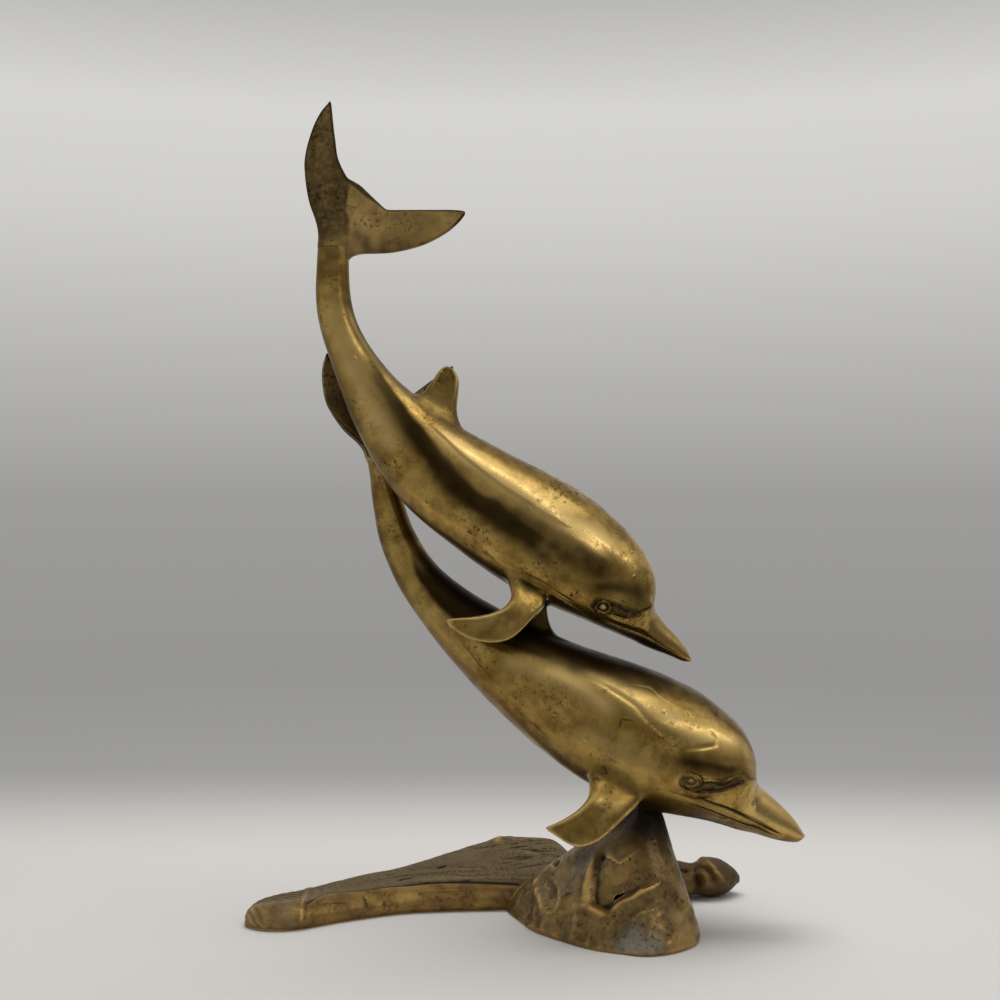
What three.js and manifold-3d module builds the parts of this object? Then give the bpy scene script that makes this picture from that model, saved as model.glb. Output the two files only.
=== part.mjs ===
// Cast brass sculpture: two diving dolphins, one above the other, on a base of rock and driftwood.
// Millimetres. +Z is up, +X is the way the beaks point, and -Y is the side that faces the viewer.
import * as THREE from "three";
import { mergeVertices } from "three/addons/utils/BufferGeometryUtils.js";
import Module from "manifold-3d";

const wasm = await Module();
wasm.setup();

// Driving dimensions
const brazeGap = 0.3; // between two castings that are brazed together
const bodyWall = 3.2; // wall of the hollow bodies
const baseWall = 6; // wall of the hollow rock
const limbWall = 5; // wall of the driftwood limb, open underneath
const rockHeight = 80; // to the peak that carries the lower dolphin
const rockTopThickness = 30; // solid top of the rock, above its hollow
const limbLength = 209;
const studRadius = 4;
const studAt = [86, -2]; // where the stud stands, in X and Y
const studReach = 8; // how far the stud reaches above the rock's peak
const studEnd = 8; // how far the stud reaches below the nut
const holePlay = 0.4; // between the stud and the holes that it passes through
const bossWall = 6; // of the boss inside the lower dolphin, around the stud
const bossDrop = 10; // the boss starts this far below the peak, trimmed by the belly
const bossRise = 7; // and ends this far above the peak
const washerWidth = 4.5;
const washerThickness = 1.6;
const nutWall = 2.5; // at the flats
const nutThickness = 6.5;
const eyeRadius = 2.9;
const eyeSocket = 5; // radius of the shallow recess round the eye
const eyeSocketDepth = 0.9;
const eyeHeight = 1.6; // of the bead above and below its middle, which lies under the skin
const eyeSink = 0.5;
const mouthWidth = 1.8;
const mouthDepth = 1.1;
const mouthEndShare = 0.3; // share of the depth at both ends of the mouth line
const dorsalDishDepth = 1.4; // of the dished faces of the upper dorsal fin

// Mesh fineness
const arcSteps = 9;
const sectionsPerStation = 2;
const skinStep = 0.02; // between the places that give the skin's direction
const sectionFullness = 0.92; // below 1 it makes the bodies' sections fuller than an oval
const leastHollow = 0.3; // a body's hollow keeps at least this share of its height
const belowFloor = 1; // the hollows of the base are cut from this far below the floor
const finSides = 12;
const rockSides = 36;
const stubSides = 18;
const roundSides = 24;
const ballSides = 10;
const ballRings = 6;

// Upper dolphin, from tail stock to beak. Each station gives the back and belly outline seen from
// the side as [x, z], how far the section lies to the side, and its half width. In the dolphins,
// and in their fins and flukes, z is measured up from the rock's peak.
const upperBody = [
  { back: [-92.6, 336.5], belly: [-111.6, 336.5], side: 0, half: 6.5 },
  { back: [-92.6, 310.7], belly: [-113.4, 309.5], side: 0, half: 7.5 },
  { back: [-88.3, 291.7], belly: [-111, 289.3], side: 0, half: 8.5 },
  { back: [-79.1, 274.6], belly: [-104.2, 269], side: 0, half: 11 },
  { back: [-64.4, 256.8], belly: [-95, 240.2], side: 0, half: 14.5 },
  { back: [-46.6, 241.5], belly: [-82.1, 214.5], side: 0, half: 18.5 },
  { back: [-25.7, 226.7], belly: [-63.5, 183.6], side: 0, half: 23 },
  { back: [4.9, 210.8], belly: [-34.4, 158.2], side: 0, half: 28 },
  { back: [36.8, 194.9], belly: [-3.7, 135], side: 0, half: 31.5 },
  { back: [61.9, 178.9], belly: [24.5, 120.1], side: 0, half: 31.5 },
  { back: [82.1, 159.3], belly: [52.7, 108.4], side: 0, half: 27.5 },
  { back: [93.2, 141.5], belly: [72.3, 99.9], side: 0, half: 21.5 },
  { back: [95.6, 126.8], belly: [80.9, 96.2], side: 0, half: 17 },
  { back: [94.4, 117], belly: [87, 93.1], side: 0, half: 13 },
  { back: [100.5, 107.2], belly: [94.4, 90], side: 0, half: 10 },
  { back: [109.6, 97], belly: [104.2, 86.4], side: 0, half: 6.5 },
  { back: [115.2, 89.4], belly: [111.6, 83.3], side: 0, half: 4 },
  { back: [117, 85], belly: [115.5, 83], side: 0, half: 1.6 },
];

// Lower dolphin. Its tail bends sideways to pass behind the upper one.
const lowerBody = [
  { back: [-68.7, 213.5], belly: [-84.4, 212.2], side: 20.6, half: 7 },
  { back: [-64.3, 194.6], belly: [-81.3, 193.3], side: 20.6, half: 8 },
  { back: [-55.3, 164.4], belly: [-77.3, 161.3], side: 18.6, half: 9.5 },
  { back: [-42.5, 145.1], belly: [-68.8, 139.5], side: 15.4, half: 11.5 },
  { back: [-33, 135.3], belly: [-59.8, 121.6], side: 14, half: 13.5 },
  { back: [-12.4, 120.7], belly: [-42.7, 98.4], side: 9, half: 18 },
  { back: [18.5, 105.5], belly: [-19.1, 71], side: 5, half: 24 },
  { back: [51, 91.7], belly: [8, 43.8], side: 2, half: 30 },
  { back: [88.9, 80.2], belly: [41.1, 16.5], side: 0, half: 35.5 },
  { back: [122.3, 65.2], belly: [76.5, -3.3], side: -2, half: 36 },
  { back: [137.4, 53.1], belly: [102.6, -8.6], side: -3, half: 33 },
  { back: [148.3, 42.3], belly: [122, -12], side: -4, half: 28.5 },
  { back: [155, 26.4], belly: [135.4, -15.7], side: -4, half: 22 },
  { back: [156, 10.8], belly: [145, -18.5], side: -5, half: 16 },
  { back: [163.3, 3.4], belly: [153.6, -20.3], side: -5, half: 13 },
  { back: [171.9, -4.5], belly: [164.5, -23.8], side: -5, half: 10 },
  { back: [179.2, -12.4], belly: [174.3, -26], side: -5, half: 7 },
  { back: [183.4, -18.5], belly: [181, -26.2], side: -5, half: 4.2 },
  { back: [185, -21.5], belly: [184.3, -24], side: -5, half: 1.8 },
];

// Each dolphin's eye and mouth line, as [place along its stations, height in the section], where a
// height of 1 is the back and -1 the belly.
const upperFace = {
  eye: [10.05, -0.54],
  mouth: [[10.4, -0.7], [12, -0.62], [13, -0.47], [14, -0.33], [15, -0.15], [16.4, -0.05]],
};
const lowerFace = {
  eye: [9.7, -0.2],
  mouth: [[9.8, -0.53], [11, -0.6], [12, -0.62], [13, -0.6], [14, -0.55], [15, -0.45], [16, -0.35], [17.3, -0.2]],
};

// Fins, from root to tip: leading edge, trailing edge and thickness.
const upperDorsal = [
  { lead: [-14.7, 0, 215.7], trail: [-61.3, 0, 246.4], thick: 16 },
  { lead: [-23.3, 0, 226.1], trail: [-52.7, 0, 245.1], thick: 12 },
  { lead: [-26.4, 0, 235.9], trail: [-46.6, 0, 248.2], thick: 9 },
  { lead: [-25.7, 0, 246.4], trail: [-42.9, 0, 253.1], thick: 8 },
  { lead: [-25.1, 0, 255.6], trail: [-39.2, 0, 258.6], thick: 7 },
  { lead: [-28.2, 0, 261.7], trail: [-36.2, 0, 262.3], thick: 5 },
  { lead: [-31.8, 0, 263.8], trail: [-33.2, 0, 263.9], thick: 2 },
];
// Where the upper dorsal fin's faces are dished, its lean in degrees, and half the fin's thickness.
const dorsalDish = { at: [-35.5, 0, 248.5], wide: 17, tall: 25, lean: -25, finHalf: 3.9 };
const upperPectoral = [
  { lead: [28.2, -14, 126.3], trail: [3.6, -14, 139.2], thick: 12 },
  { lead: [26.2, -24, 118.9], trail: [6.6, -24, 127.2], thick: 8 },
  { lead: [19.5, -29, 111.5], trail: [4.7, -29, 121], thick: 6.5 },
  { lead: [7.7, -32, 100.6], trail: [-1.8, -32, 116.5], thick: 5.5 },
  { lead: [-4.7, -34, 97.8], trail: [-12.9, -34, 113.7], thick: 4.5 },
  { lead: [-18.8, -35, 100.9], trail: [-23.5, -35, 112.9], thick: 3.5 },
  { lead: [-28.8, -35.5, 107.4], trail: [-31.1, -35.5, 112.1], thick: 2.4 },
];
const lowerDorsal = [
  { lead: [58.3, 2, 83.8], trail: [0.9, 2, 100.4], thick: 17 },
  { lead: [45.5, 2, 94.1], trail: [11.1, 2, 107], thick: 11.5 },
  { lead: [35, 2, 98.8], trail: [14.7, 2, 112], thick: 9 },
  { lead: [29.6, 1.5, 108.9], trail: [16.6, 1.5, 117.5], thick: 8.5 },
  { lead: [28.4, 1, 124.6], trail: [17.2, 1, 131.9], thick: 9.5 },
];
const lowerPectoral = [
  { lead: [90.8, -17, 12], trail: [55, -17, 28], thick: 17 },
  { lead: [82, -29, 2], trail: [53, -28, 18], thick: 11 },
  { lead: [73, -35, -5.5], trail: [52.6, -35, 10.5], thick: 8.5 },
  { lead: [63.5, -39.5, -13], trail: [50, -39.5, 6], thick: 6.5 },
  { lead: [54, -43, -18.4], trail: [43.5, -43, 0.5], thick: 5 },
  { lead: [43, -45, -19.4], trail: [34.5, -45, -4.3], thick: 4 },
  { lead: [29, -46, -10.5], trail: [26.7, -46, -7.5], thick: 2.6 },
];

// One fluke lobe, from the middle of the tail to the tip: each edge as [out along the span, back
// along the tail], and the thickness. The other lobe is its mirror image, reached further or less.
const flukeLobe = [
  { lead: [0, -3], trail: [0, 41], thick: 9 },
  { lead: [14, 4], trail: [9, 40], thick: 7 },
  { lead: [28, 15], trail: [16, 42], thick: 5.5 },
  { lead: [42, 29], trail: [28, 48], thick: 4.5 },
  { lead: [51, 45], trail: [40, 59], thick: 3.6 },
  { lead: [54.5, 57], trail: [47, 66], thick: 2.8 },
  { lead: [54.6, 68], trail: [53, 69.5], thick: 2 },
];
// Where each pair of flukes is joined, the way its middle points, and the way its right lobe points.
const upperFlukes = {
  joint: [-102, 0, 336.5],
  back: [0.54, 0, 0.84],
  right: [0.84, 0, -0.54],
  size: 1,
  reach: { left: 1.09, right: 0.92 },
};
const lowerFlukes = {
  joint: [-76.5, 20.6, 212.8],
  back: [0.04, 0.2, 0.96],
  right: [0.86, 0.5, -0.05],
  size: 0.85,
  reach: { left: 1, right: 0.95 },
};
const flukeCurl = 5; // how far the tips bend out of the plane of the flukes
const flukeRootInset = 0.4; // the root starts this much slimmer than the tail stock
// The root between tail and flukes: how far along it reaches, and its half width and thickness.
const flukeSpread = [
  { along: 9, wide: 11, thick: 5.2 },
  { along: 18, wide: 12, thick: 4 },
  { along: 28, wide: 9, thick: 2.6 },
  { along: 35, wide: 5, thick: 1.6 },
];
// How far forward the far pectoral fins are swung from where the near ones lie.
const upperFarSwing = THREE.MathUtils.degToRad(18);
const lowerFarSwing = THREE.MathUtils.degToRad(34);
const lowerFinSide = -2; // the lower dolphin's middle lies this far to the side at its pectoral fins

// Rock of the base: its footprint as [x, y, fullness], where a larger fullness makes a steeper side.
const rockPeak = [92, -3];
const rockPeakRadius = 3;
const rockLeastRadius = 2; // no level is drawn in closer to the peak than this
const rockFootDepth = 7; // above this height the scoops have their full depth
const scoopInside = 0.6; // share of a scoop's depth that the inside face follows
const rockFootprint = [
  [2, 42, 1.15],
  [12, 8, 1.15],
  [24, -14, 1.2],
  [50, -41, 1.4],
  [72, -52, 1.5],
  [88, -55, 1.6],
  [106, -46, 1.4],
  [118, -30, 1.25],
  [121, -5, 1.1],
  [123, 28, 1.1],
  [120, 54, 1.1],
  [104, 72, 1.3],
  [70, 78, 1.3],
  [34, 72, 1.2],
  [12, 62, 1.15],
];
const rockLevels = [0, 0.06, 0.15, 0.25, 0.35, 0.45, 0.55, 0.65, 0.75, 0.85, 0.95];
// Scooped hollows in the rock's face: centre, reach and depth.
const rockScoops = [
  { at: [64, -40, 26], reach: 17, depth: 9 },
  { at: [100, -38, 18], reach: 12, depth: 5 },
  { at: [108, 30, 26], reach: 20, depth: 7 },
  { at: [34, 2, 30], reach: 14, depth: 5 },
  { at: [60, 52, 34], reach: 20, depth: 7 },
];

// Driftwood limb, from its tip at the left to its root behind the rock: share of its length from the
// root, front and back foot, height of the rounded front and of the ridge.
const limbRoot = 52;
const limb = [
  { share: 1, front: 3, back: 12, shoulder: 6, ridge: 7 },
  { share: 0.971, front: -3, back: 19, shoulder: 11.5, ridge: 12 },
  { share: 0.919, front: -7, back: 26, shoulder: 14.5, ridge: 14.5 },
  { share: 0.842, front: -5, back: 32, shoulder: 15, ridge: 16.5 },
  { share: 0.718, front: 11, back: 50, shoulder: 14.5, ridge: 19 },
  { share: 0.555, front: 28, back: 70, shoulder: 14.5, ridge: 21.5 },
  { share: 0.431, front: 33, back: 80, shoulder: 15.5, ridge: 27 },
  { share: 0.325, front: 35, back: 88, shoulder: 16.5, ridge: 32 },
  { share: 0.239, front: 37, back: 93, shoulder: 18, ridge: 35.5 },
  { share: 0.115, front: 40, back: 95, shoulder: 22, ridge: 35 },
  { share: 0, front: 46, back: 88, shoulder: 24, ridge: 29 },
];
const limbNose = 2.5; // the limb is solid as far as this place along its stations

// Short broken branch behind the rock, to the right: centre and half size as [y, z].
const stub = [
  { x: 96, centre: [58, 12], half: [18, 12] },
  { x: 114, centre: [62, 12.6], half: [16, 12] },
  { x: 127, centre: [66, 11.6], half: [12, 10] },
  { x: 135, centre: [69, 12.6], half: [15, 12.2] },
  { x: 146, centre: [71, 11.8], half: [13, 11.2] },
  { x: 154, centre: [72, 11], half: [8, 7] },
  { x: 159, centre: [72.5, 10], half: [2, 2] },
];

const polishedBrass = new THREE.MeshStandardMaterial({ color: 0x9c7a3c, metalness: 1, roughness: 0.3 });
const agedBrass = new THREE.MeshStandardMaterial({ color: 0x6f5a35, metalness: 1, roughness: 0.5 });
const steel = new THREE.MeshStandardMaterial({ color: 0x8c8c88, metalness: 1, roughness: 0.45 });

// A smooth run through a list of numbers, read at a place between 0 and its last index.
function runThrough(values, place) {
  const last = values.length - 1;
  const start = Math.min(Math.floor(place), last - 1);
  const t = place - start;
  const at = (k) => values[Math.max(0, Math.min(last, k))];
  const [a, b, c, d] = [at(start - 1), at(start), at(start + 1), at(start + 2)];
  const curve = (2 * a - 5 * b + 4 * c - d) * t * t + (3 * b - 3 * c + d - a) * t * t * t;
  return b + 0.5 * ((c - a) * t + curve);
}

const pointThrough = (points, place) => points[0].map((_, k) => runThrough(points.map((p) => p[k]), place));

// Places along a list of stations, with some sections between each two.
function placesAlong(count, perStation) {
  const steps = (count - 1) * perStation;
  return Array.from({ length: steps + 1 }, (_, i) => i / perStation);
}

// A solid from vertices and triangles, turned to face outwards.
function solidOf(vertices, triangles) {
  const geometry = new THREE.BufferGeometry();
  geometry.setAttribute("position", new THREE.Float32BufferAttribute(vertices, 3));
  geometry.setIndex(triangles);
  const merged = mergeVertices(geometry, 1e-4);
  const make = (triVerts) =>
    new wasm.Manifold(
      new wasm.Mesh({ numProp: 3, vertProperties: merged.attributes.position.array, triVerts }),
    );
  const index = Uint32Array.from(merged.index.array);
  const solid = make(index);
  return solid.volume() > 0 ? solid : make(index.reverse());
}

// A solid from one of three's own closed shapes.
function solidFrom(geometry) {
  geometry.deleteAttribute("normal");
  geometry.deleteAttribute("uv");
  const merged = mergeVertices(geometry, 1e-4);
  return solidOf([...merged.attributes.position.array], [...merged.index.array]);
}

// Joins closed rings into one solid. Round sections end in a fan, and C-shaped ones in a strip.
function loft(rings, ends = "fan") {
  const count = rings[0].length;
  const vertices = rings.flat().flat();
  const triangles = [];
  for (let r = 0; r + 1 < rings.length; r += 1) {
    for (let i = 0; i < count; i += 1) {
      const a = r * count + i;
      const b = r * count + ((i + 1) % count);
      triangles.push(a, b, b + count, a, b + count, a + count);
    }
  }
  for (const [ring, flip] of [[0, true], [rings.length - 1, false]]) {
    const face = (a, b, c) => triangles.push(...(flip ? [a, c, b] : [a, b, c]));
    const first = ring * count;
    if (ends === "strip") {
      for (let i = 0; i + 1 < count / 2; i += 1) {
        const across = count - 1 - i;
        face(first + i, first + i + 1, first + across - 1);
        face(first + i, first + across - 1, first + across);
      }
    } else {
      const middle = [0, 1, 2].map((k) => rings[ring].reduce((sum, p) => sum + p[k], 0) / count);
      const centre = vertices.length / 3;
      vertices.push(...middle);
      for (let i = 0; i < count; i += 1) face(first + i, first + ((i + 1) % count), centre);
    }
  }
  return solidOf(vertices, triangles);
}

// A point that is measured from the rock's peak, raised to its height above the floor.
const onRock = (point) => [...point.slice(0, -1), point.at(-1) + rockHeight];

// The outline, sideways place and half width of a body at one place along its stations.
function bodySection(stations, place) {
  const back = onRock(pointThrough(stations.map((s) => s.back), place));
  const belly = onRock(pointThrough(stations.map((s) => s.belly), place));
  const middle = [(back[0] + belly[0]) / 2, (back[1] + belly[1]) / 2];
  const up = [(back[0] - belly[0]) / 2, (back[1] - belly[1]) / 2];
  return {
    middle,
    up,
    tall: Math.hypot(...up),
    side: runThrough(stations.map((s) => s.side), place),
    half: runThrough(stations.map((s) => s.half), place),
  };
}

// A point on a body's section, at an angle from the back and with the section grown or shrunk.
function bodyPoint(section, angle, grow, shift = 0) {
  const tall = Math.max(section.tall + grow, leastHollow * section.tall) / section.tall;
  const wide = Math.max(section.half + grow, 0);
  const across = Math.sign(Math.sin(angle)) * Math.abs(Math.sin(angle)) ** sectionFullness;
  return [
    section.middle[0] + section.up[0] * tall * Math.cos(angle),
    section.side + shift + across * Math.max(wide - Math.abs(shift), 0),
    section.middle[1] + section.up[1] * tall * Math.cos(angle),
  ];
}

// Moves the end sections of a grown body outwards too, so that it is grown all over.
function endShift(sections, index, grow) {
  const inner = index === 0 ? 1 : index === sections.length - 1 ? index - 1 : -1;
  if (inner < 0 || grow <= 0) return [0, 0];
  const [a, b] = [sections[index].middle, sections[inner].middle];
  const length = Math.hypot(a[0] - b[0], a[1] - b[1]);
  return [(grow * (a[0] - b[0])) / length, (grow * (a[1] - b[1])) / length];
}

// The whole body as one solid, grown by some millimetres to cut a seat, or shrunk to a cavity.
function wholeBody(stations, grow) {
  const sections = placesAlong(stations.length, sectionsPerStation).map((p) => bodySection(stations, p));
  const kept = sections.filter((s) => Math.min(s.half, s.tall) + grow > 0.5);
  const rings = kept.map((section, index) => {
    const [dx, dz] = endShift(kept, index, grow);
    return Array.from({ length: 2 * arcSteps }, (_, i) => {
      const [x, y, z] = bodyPoint(section, (Math.PI * i) / arcSteps, grow);
      return [x + dx, y, z + dz];
    });
  });
  return loft(rings);
}

// One half of a hollow body, split along the middle of the back and belly.
function halfShell(stations, sign) {
  const rings = placesAlong(stations.length, sectionsPerStation).map((place) => {
    const section = bodySection(stations, place);
    const arc = Array.from({ length: arcSteps + 1 }, (_, i) => (Math.PI * i * sign) / arcSteps);
    const shift = (sign * brazeGap) / 2;
    const outer = arc.map((angle) => bodyPoint(section, angle, 0, shift));
    const inner = arc.map((angle) => bodyPoint(section, angle, -bodyWall, shift));
    return [...outer, ...inner.reverse()];
  });
  return loft(rings, "strip");
}

// A fin from its edges: each section is a flat oval between the leading and trailing edge.
function fin(stations) {
  const places = placesAlong(stations.length, sectionsPerStation);
  const edge = (key, place) => new THREE.Vector3(...onRock(pointThrough(stations.map((s) => s[key]), place)));
  const leads = places.map((place) => edge("lead", place));
  const trails = places.map((place) => edge("trail", place));
  const centres = leads.map((lead, i) => lead.clone().add(trails[i]).multiplyScalar(0.5));
  const rings = places.map((place, i) => {
    const ahead = centres[Math.min(i + 1, places.length - 1)];
    const along = ahead.clone().sub(centres[Math.max(i - 1, 0)]);
    const chord = leads[i].clone().sub(centres[i]);
    const normal = chord.clone().cross(along).normalize();
    normal.multiplyScalar(runThrough(stations.map((s) => s.thick), place) / 2);
    return Array.from({ length: finSides }, (_, k) => {
      const angle = (2 * Math.PI * k) / finSides;
      const point = centres[i].clone().addScaledVector(chord, Math.cos(angle));
      return point.addScaledVector(normal, Math.sin(angle)).toArray();
    });
  });
  return loft(rings);
}

// The same fin on the other side of a body whose middle lies at y = side, swung about its root.
function mirrored(stations, side, swing) {
  const [pivotX, pivotZ] = [0, 2].map((k) => (stations[0].lead[k] + stations[0].trail[k]) / 2);
  const across = ([x, y, z]) => [
    pivotX + (x - pivotX) * Math.cos(swing) - (z - pivotZ) * Math.sin(swing),
    2 * side - y,
    pivotZ + (x - pivotX) * Math.sin(swing) + (z - pivotZ) * Math.cos(swing),
  ];
  return stations.map(({ lead, trail, thick }) => ({ lead: across(lead), trail: across(trail), thick }));
}

// Both lobes of the flukes as one run of sections, from the left tip to the right one.
function flukeStations({ joint, back, right, size, reach }) {
  const backward = new THREE.Vector3(...back).normalize();
  const rightward = new THREE.Vector3(...right).normalize();
  const normal = backward.clone().cross(rightward);
  const tipSpan = flukeLobe.at(-1).lead[0];
  const place = ([span, along], sign, lobeReach) =>
    new THREE.Vector3(...joint)
      .addScaledVector(rightward, sign * span * size)
      .addScaledVector(backward, along * size * (1 + (lobeReach - 1) * (span / tipSpan)))
      .addScaledVector(normal, flukeCurl * size * (span / tipSpan) ** 2)
      .toArray();
  const lobe = (sign, lobeReach) =>
    flukeLobe.map(({ lead, trail, thick }) => ({
      lead: place(lead, sign, lobeReach),
      trail: place(trail, sign, lobeReach),
      thick: thick * size,
    }));
  return [...lobe(-1, reach.left).reverse(), ...lobe(1, reach.right).slice(1)];
}

// The root that carries the flukes: the tail stock's end section, drawn out into the flukes' middle.
function flukeRoot({ joint, back, right, size }, stations) {
  const end = bodySection(stations, 0);
  const backward = new THREE.Vector3(...back).normalize();
  const rightward = new THREE.Vector3(...right).normalize();
  const normal = backward.clone().cross(rightward);
  const angles = Array.from({ length: finSides }, (_, i) => (2 * Math.PI * i) / finSides);
  const start = angles.map((angle) => bodyPoint(end, angle, -flukeRootInset));
  const startUp = new THREE.Vector3(end.up[0], 0, end.up[1]);
  const turn = Math.sign(startUp.dot(rightward)) || 1;
  const flip = Math.sign(normal.y) || 1;
  const rings = flukeSpread.map(({ along, wide, thick }) => {
    const middle = new THREE.Vector3(...onRock(joint)).addScaledVector(backward, along * size);
    return angles.map((angle) =>
      middle
        .clone()
        .addScaledVector(rightward, turn * wide * size * Math.cos(angle))
        .addScaledVector(normal, flip * thick * size * Math.sin(angle))
        .toArray(),
    );
  });
  return loft([start, ...rings]);
}

// A closed smooth outline through footprint points, as [x, y, fullness].
const footprintPoint = (share) => {
  const closed = [rockFootprint.at(-1), ...rockFootprint, rockFootprint[0], rockFootprint[1]];
  return pointThrough(closed, 1 + share * rockFootprint.length);
};

// One level of the rock, drawn in towards the peak as it rises, with the scoops pressed into it.
function rockRing(level, inset) {
  const height = Math.max(level, 0);
  const z = level * rockHeight;
  return Array.from({ length: rockSides }, (_, i) => {
    const [x, y, fullness] = footprintPoint(i / rockSides);
    const out = new THREE.Vector2(x - rockPeak[0], y - rockPeak[1]);
    let radius = out.length() * (1 - height ** fullness) + rockPeakRadius * height - inset;
    out.normalize();
    const surface = [rockPeak[0] + out.x * radius, rockPeak[1] + out.y * radius, z];
    for (const { at, reach, depth } of rockScoops) {
      const distance = Math.hypot(surface[0] - at[0], surface[1] - at[1], surface[2] - at[2]);
      const fade = Math.min(1, z / rockFootDepth) * Math.exp(-((distance / reach) ** 2));
      radius -= depth * Math.max(fade, 0) * (inset > 0 ? scoopInside : 1);
    }
    radius = Math.max(radius, rockLeastRadius);
    return [rockPeak[0] + out.x * radius, rockPeak[1] + out.y * radius, z];
  });
}

const rockOutside = (grow) => loft(rockLevels.map((level) => rockRing(level, -grow)));

// The hollow of the rock, from just below its rim to its ceiling.
function rockInside() {
  const ceiling = ceilingHeight / rockHeight;
  const levels = rockLevels.filter((level) => level < ceiling);
  return loft([-belowFloor / rockHeight, ...levels, ceiling].map((level) => rockRing(level, baseWall)));
}

// A cross-section of the driftwood limb: rounded front, sloping top, ridge and steep back.
function limbRing(station, inset, drop) {
  const { x, front, back, shoulder, ridge } = station;
  const width = back - front;
  const outline = [
    [front + inset, drop],
    [front - 1.5 + inset, 0.5 * (shoulder - inset)],
    [front + 0.14 * width + inset * 0.7, shoulder - inset],
    [front + 0.48 * width, 0.5 * (shoulder + ridge) - inset],
    [front + 0.8 * width - inset * 0.5, ridge - inset],
    [front + 0.96 * width - inset, 0.55 * ridge - inset * 0.6],
    [back - inset, drop],
  ];
  const places = placesAlong(outline.length, sectionsPerStation);
  return places.map((place) => {
    const [y, z] = pointThrough(outline, place);
    return [x, y, Math.max(z, drop)];
  });
}

const limbStation = (place) => {
  const read = (key) => runThrough(limb.map((s) => s[key]), place);
  const x = limbRoot - limbLength * read("share");
  return { x, front: read("front"), back: read("back"), shoulder: read("shoulder"), ridge: read("ridge") };
};

function limbOutside() {
  const places = placesAlong(limb.length, sectionsPerStation);
  return loft(places.map((place) => limbRing(limbStation(place), 0, 0)));
}

// The limb is cast open underneath. The hollow starts behind its solid nose.
function limbInside() {
  const places = placesAlong(limb.length, sectionsPerStation).filter((place) => place >= limbNose);
  return loft(places.map((place) => limbRing(limbStation(place), limbWall, -belowFloor)));
}

function branchStub() {
  const rings = placesAlong(stub.length, sectionsPerStation).map((place) => {
    const read = (key, k) => runThrough(stub.map((s) => s[key][k]), place);
    const x = runThrough(stub.map((s) => s.x), place);
    return Array.from({ length: stubSides }, (_, i) => {
      const angle = (2 * Math.PI * i) / stubSides;
      const z = read("centre", 1) + read("half", 1) * Math.sin(angle);
      return [x, read("centre", 0) + read("half", 0) * Math.cos(angle), Math.max(z, 0)];
    });
  });
  return loft(rings);
}

// A round bar along Z, from one height to another, about a point in X and Y.
function bar(radius, low, high, [x, y] = [0, 0]) {
  const geometry = new THREE.CylinderGeometry(radius, radius, high - low, roundSides);
  geometry.rotateX(Math.PI / 2);
  geometry.translate(x, y, (low + high) / 2);
  return solidFrom(geometry);
}

// A flat ring or a nut: an outline with a round hole, extruded upwards from z = 0.
function drilled(shape, holeRadius, thickness) {
  shape.holes.push(new THREE.Path().absarc(0, 0, holeRadius, 0, 2 * Math.PI, true));
  const curveSegments = roundSides / 2;
  return new THREE.ExtrudeGeometry(shape, { depth: thickness, bevelEnabled: false, curveSegments });
}

function hexagon(acrossFlats) {
  const corner = acrossFlats / Math.sqrt(3);
  const points = Array.from({ length: 6 }, (_, i) => {
    const angle = (Math.PI * i) / 3;
    return new THREE.Vector2(corner * Math.cos(angle), corner * Math.sin(angle));
  });
  return new THREE.Shape(points);
}

// A named mesh of a solid, ready to be placed in the scene.
function casting(name, solid, material) {
  const { vertProperties, triVerts } = solid.getMesh();
  const geometry = new THREE.BufferGeometry();
  geometry.setAttribute("position", new THREE.BufferAttribute(vertProperties, 3));
  geometry.setIndex(new THREE.BufferAttribute(triVerts, 1));
  geometry.computeVertexNormals();
  const mesh = new THREE.Mesh(geometry, material);
  mesh.name = name;
  return mesh;
}

// A place on a body's skin, with the way that the skin faces and the way that it runs to the beak.
function skinAt(stations, [place, height], sign) {
  const angle = sign * Math.acos(height);
  const shift = (sign * brazeGap) / 2;
  const at = (p, a) => new THREE.Vector3(...bodyPoint(bodySection(stations, p), a, 0, shift));
  const along = at(place + skinStep, angle).sub(at(place - skinStep, angle)).normalize();
  const around = at(place, angle + skinStep).sub(at(place, angle - skinStep)).normalize();
  const out = along.clone().cross(around).normalize();
  const faces = out.y * sign > 0 ? out : out.negate();
  return { point: at(place, angle), along, out: faces };
}

// A ball squashed along the way that the skin faces, with its middle some way under the skin.
function button({ point, out }, radius, height, sink = 0) {
  const ball = new THREE.SphereGeometry(1, ballSides, ballRings);
  ball.scale(radius, radius, height);
  ball.applyQuaternion(new THREE.Quaternion().setFromUnitVectors(new THREE.Vector3(0, 0, 1), out));
  ball.translate(...point.clone().addScaledVector(out, -sink).toArray());
  return solidFrom(ball);
}

// A V-shaped groove along the mouth line.
function mouthGroove(stations, mouth, sign) {
  const places = placesAlong(mouth.length, 1);
  const rings = places.map((place) => {
    const { point, along, out } = skinAt(stations, pointThrough(mouth, place), sign);
    const side = out.clone().cross(along);
    const corner = (across, rise) =>
      point.clone().addScaledVector(side, across).addScaledVector(out, rise).toArray();
    const nearEnd = Math.min(place, mouth.length - 1 - place);
    const depth = mouthDepth * Math.min(1, mouthEndShare + nearEnd);
    return [corner(mouthWidth, mouthDepth), corner(0, -depth), corner(-mouthWidth, mouthDepth)];
  });
  return loft(rings);
}

// A half shell with its eye, in a shallow socket, and its side of the mouth.
function halfWithFace(stations, face, sign) {
  const eye = skinAt(stations, face.eye, sign);
  return halfShell(stations, sign)
    .subtract(button(eye, eyeSocket, eyeSocketDepth))
    .subtract(mouthGroove(stations, face.mouth, sign))
    .add(button(eye, eyeRadius, eyeHeight, eyeSink));
}

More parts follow.
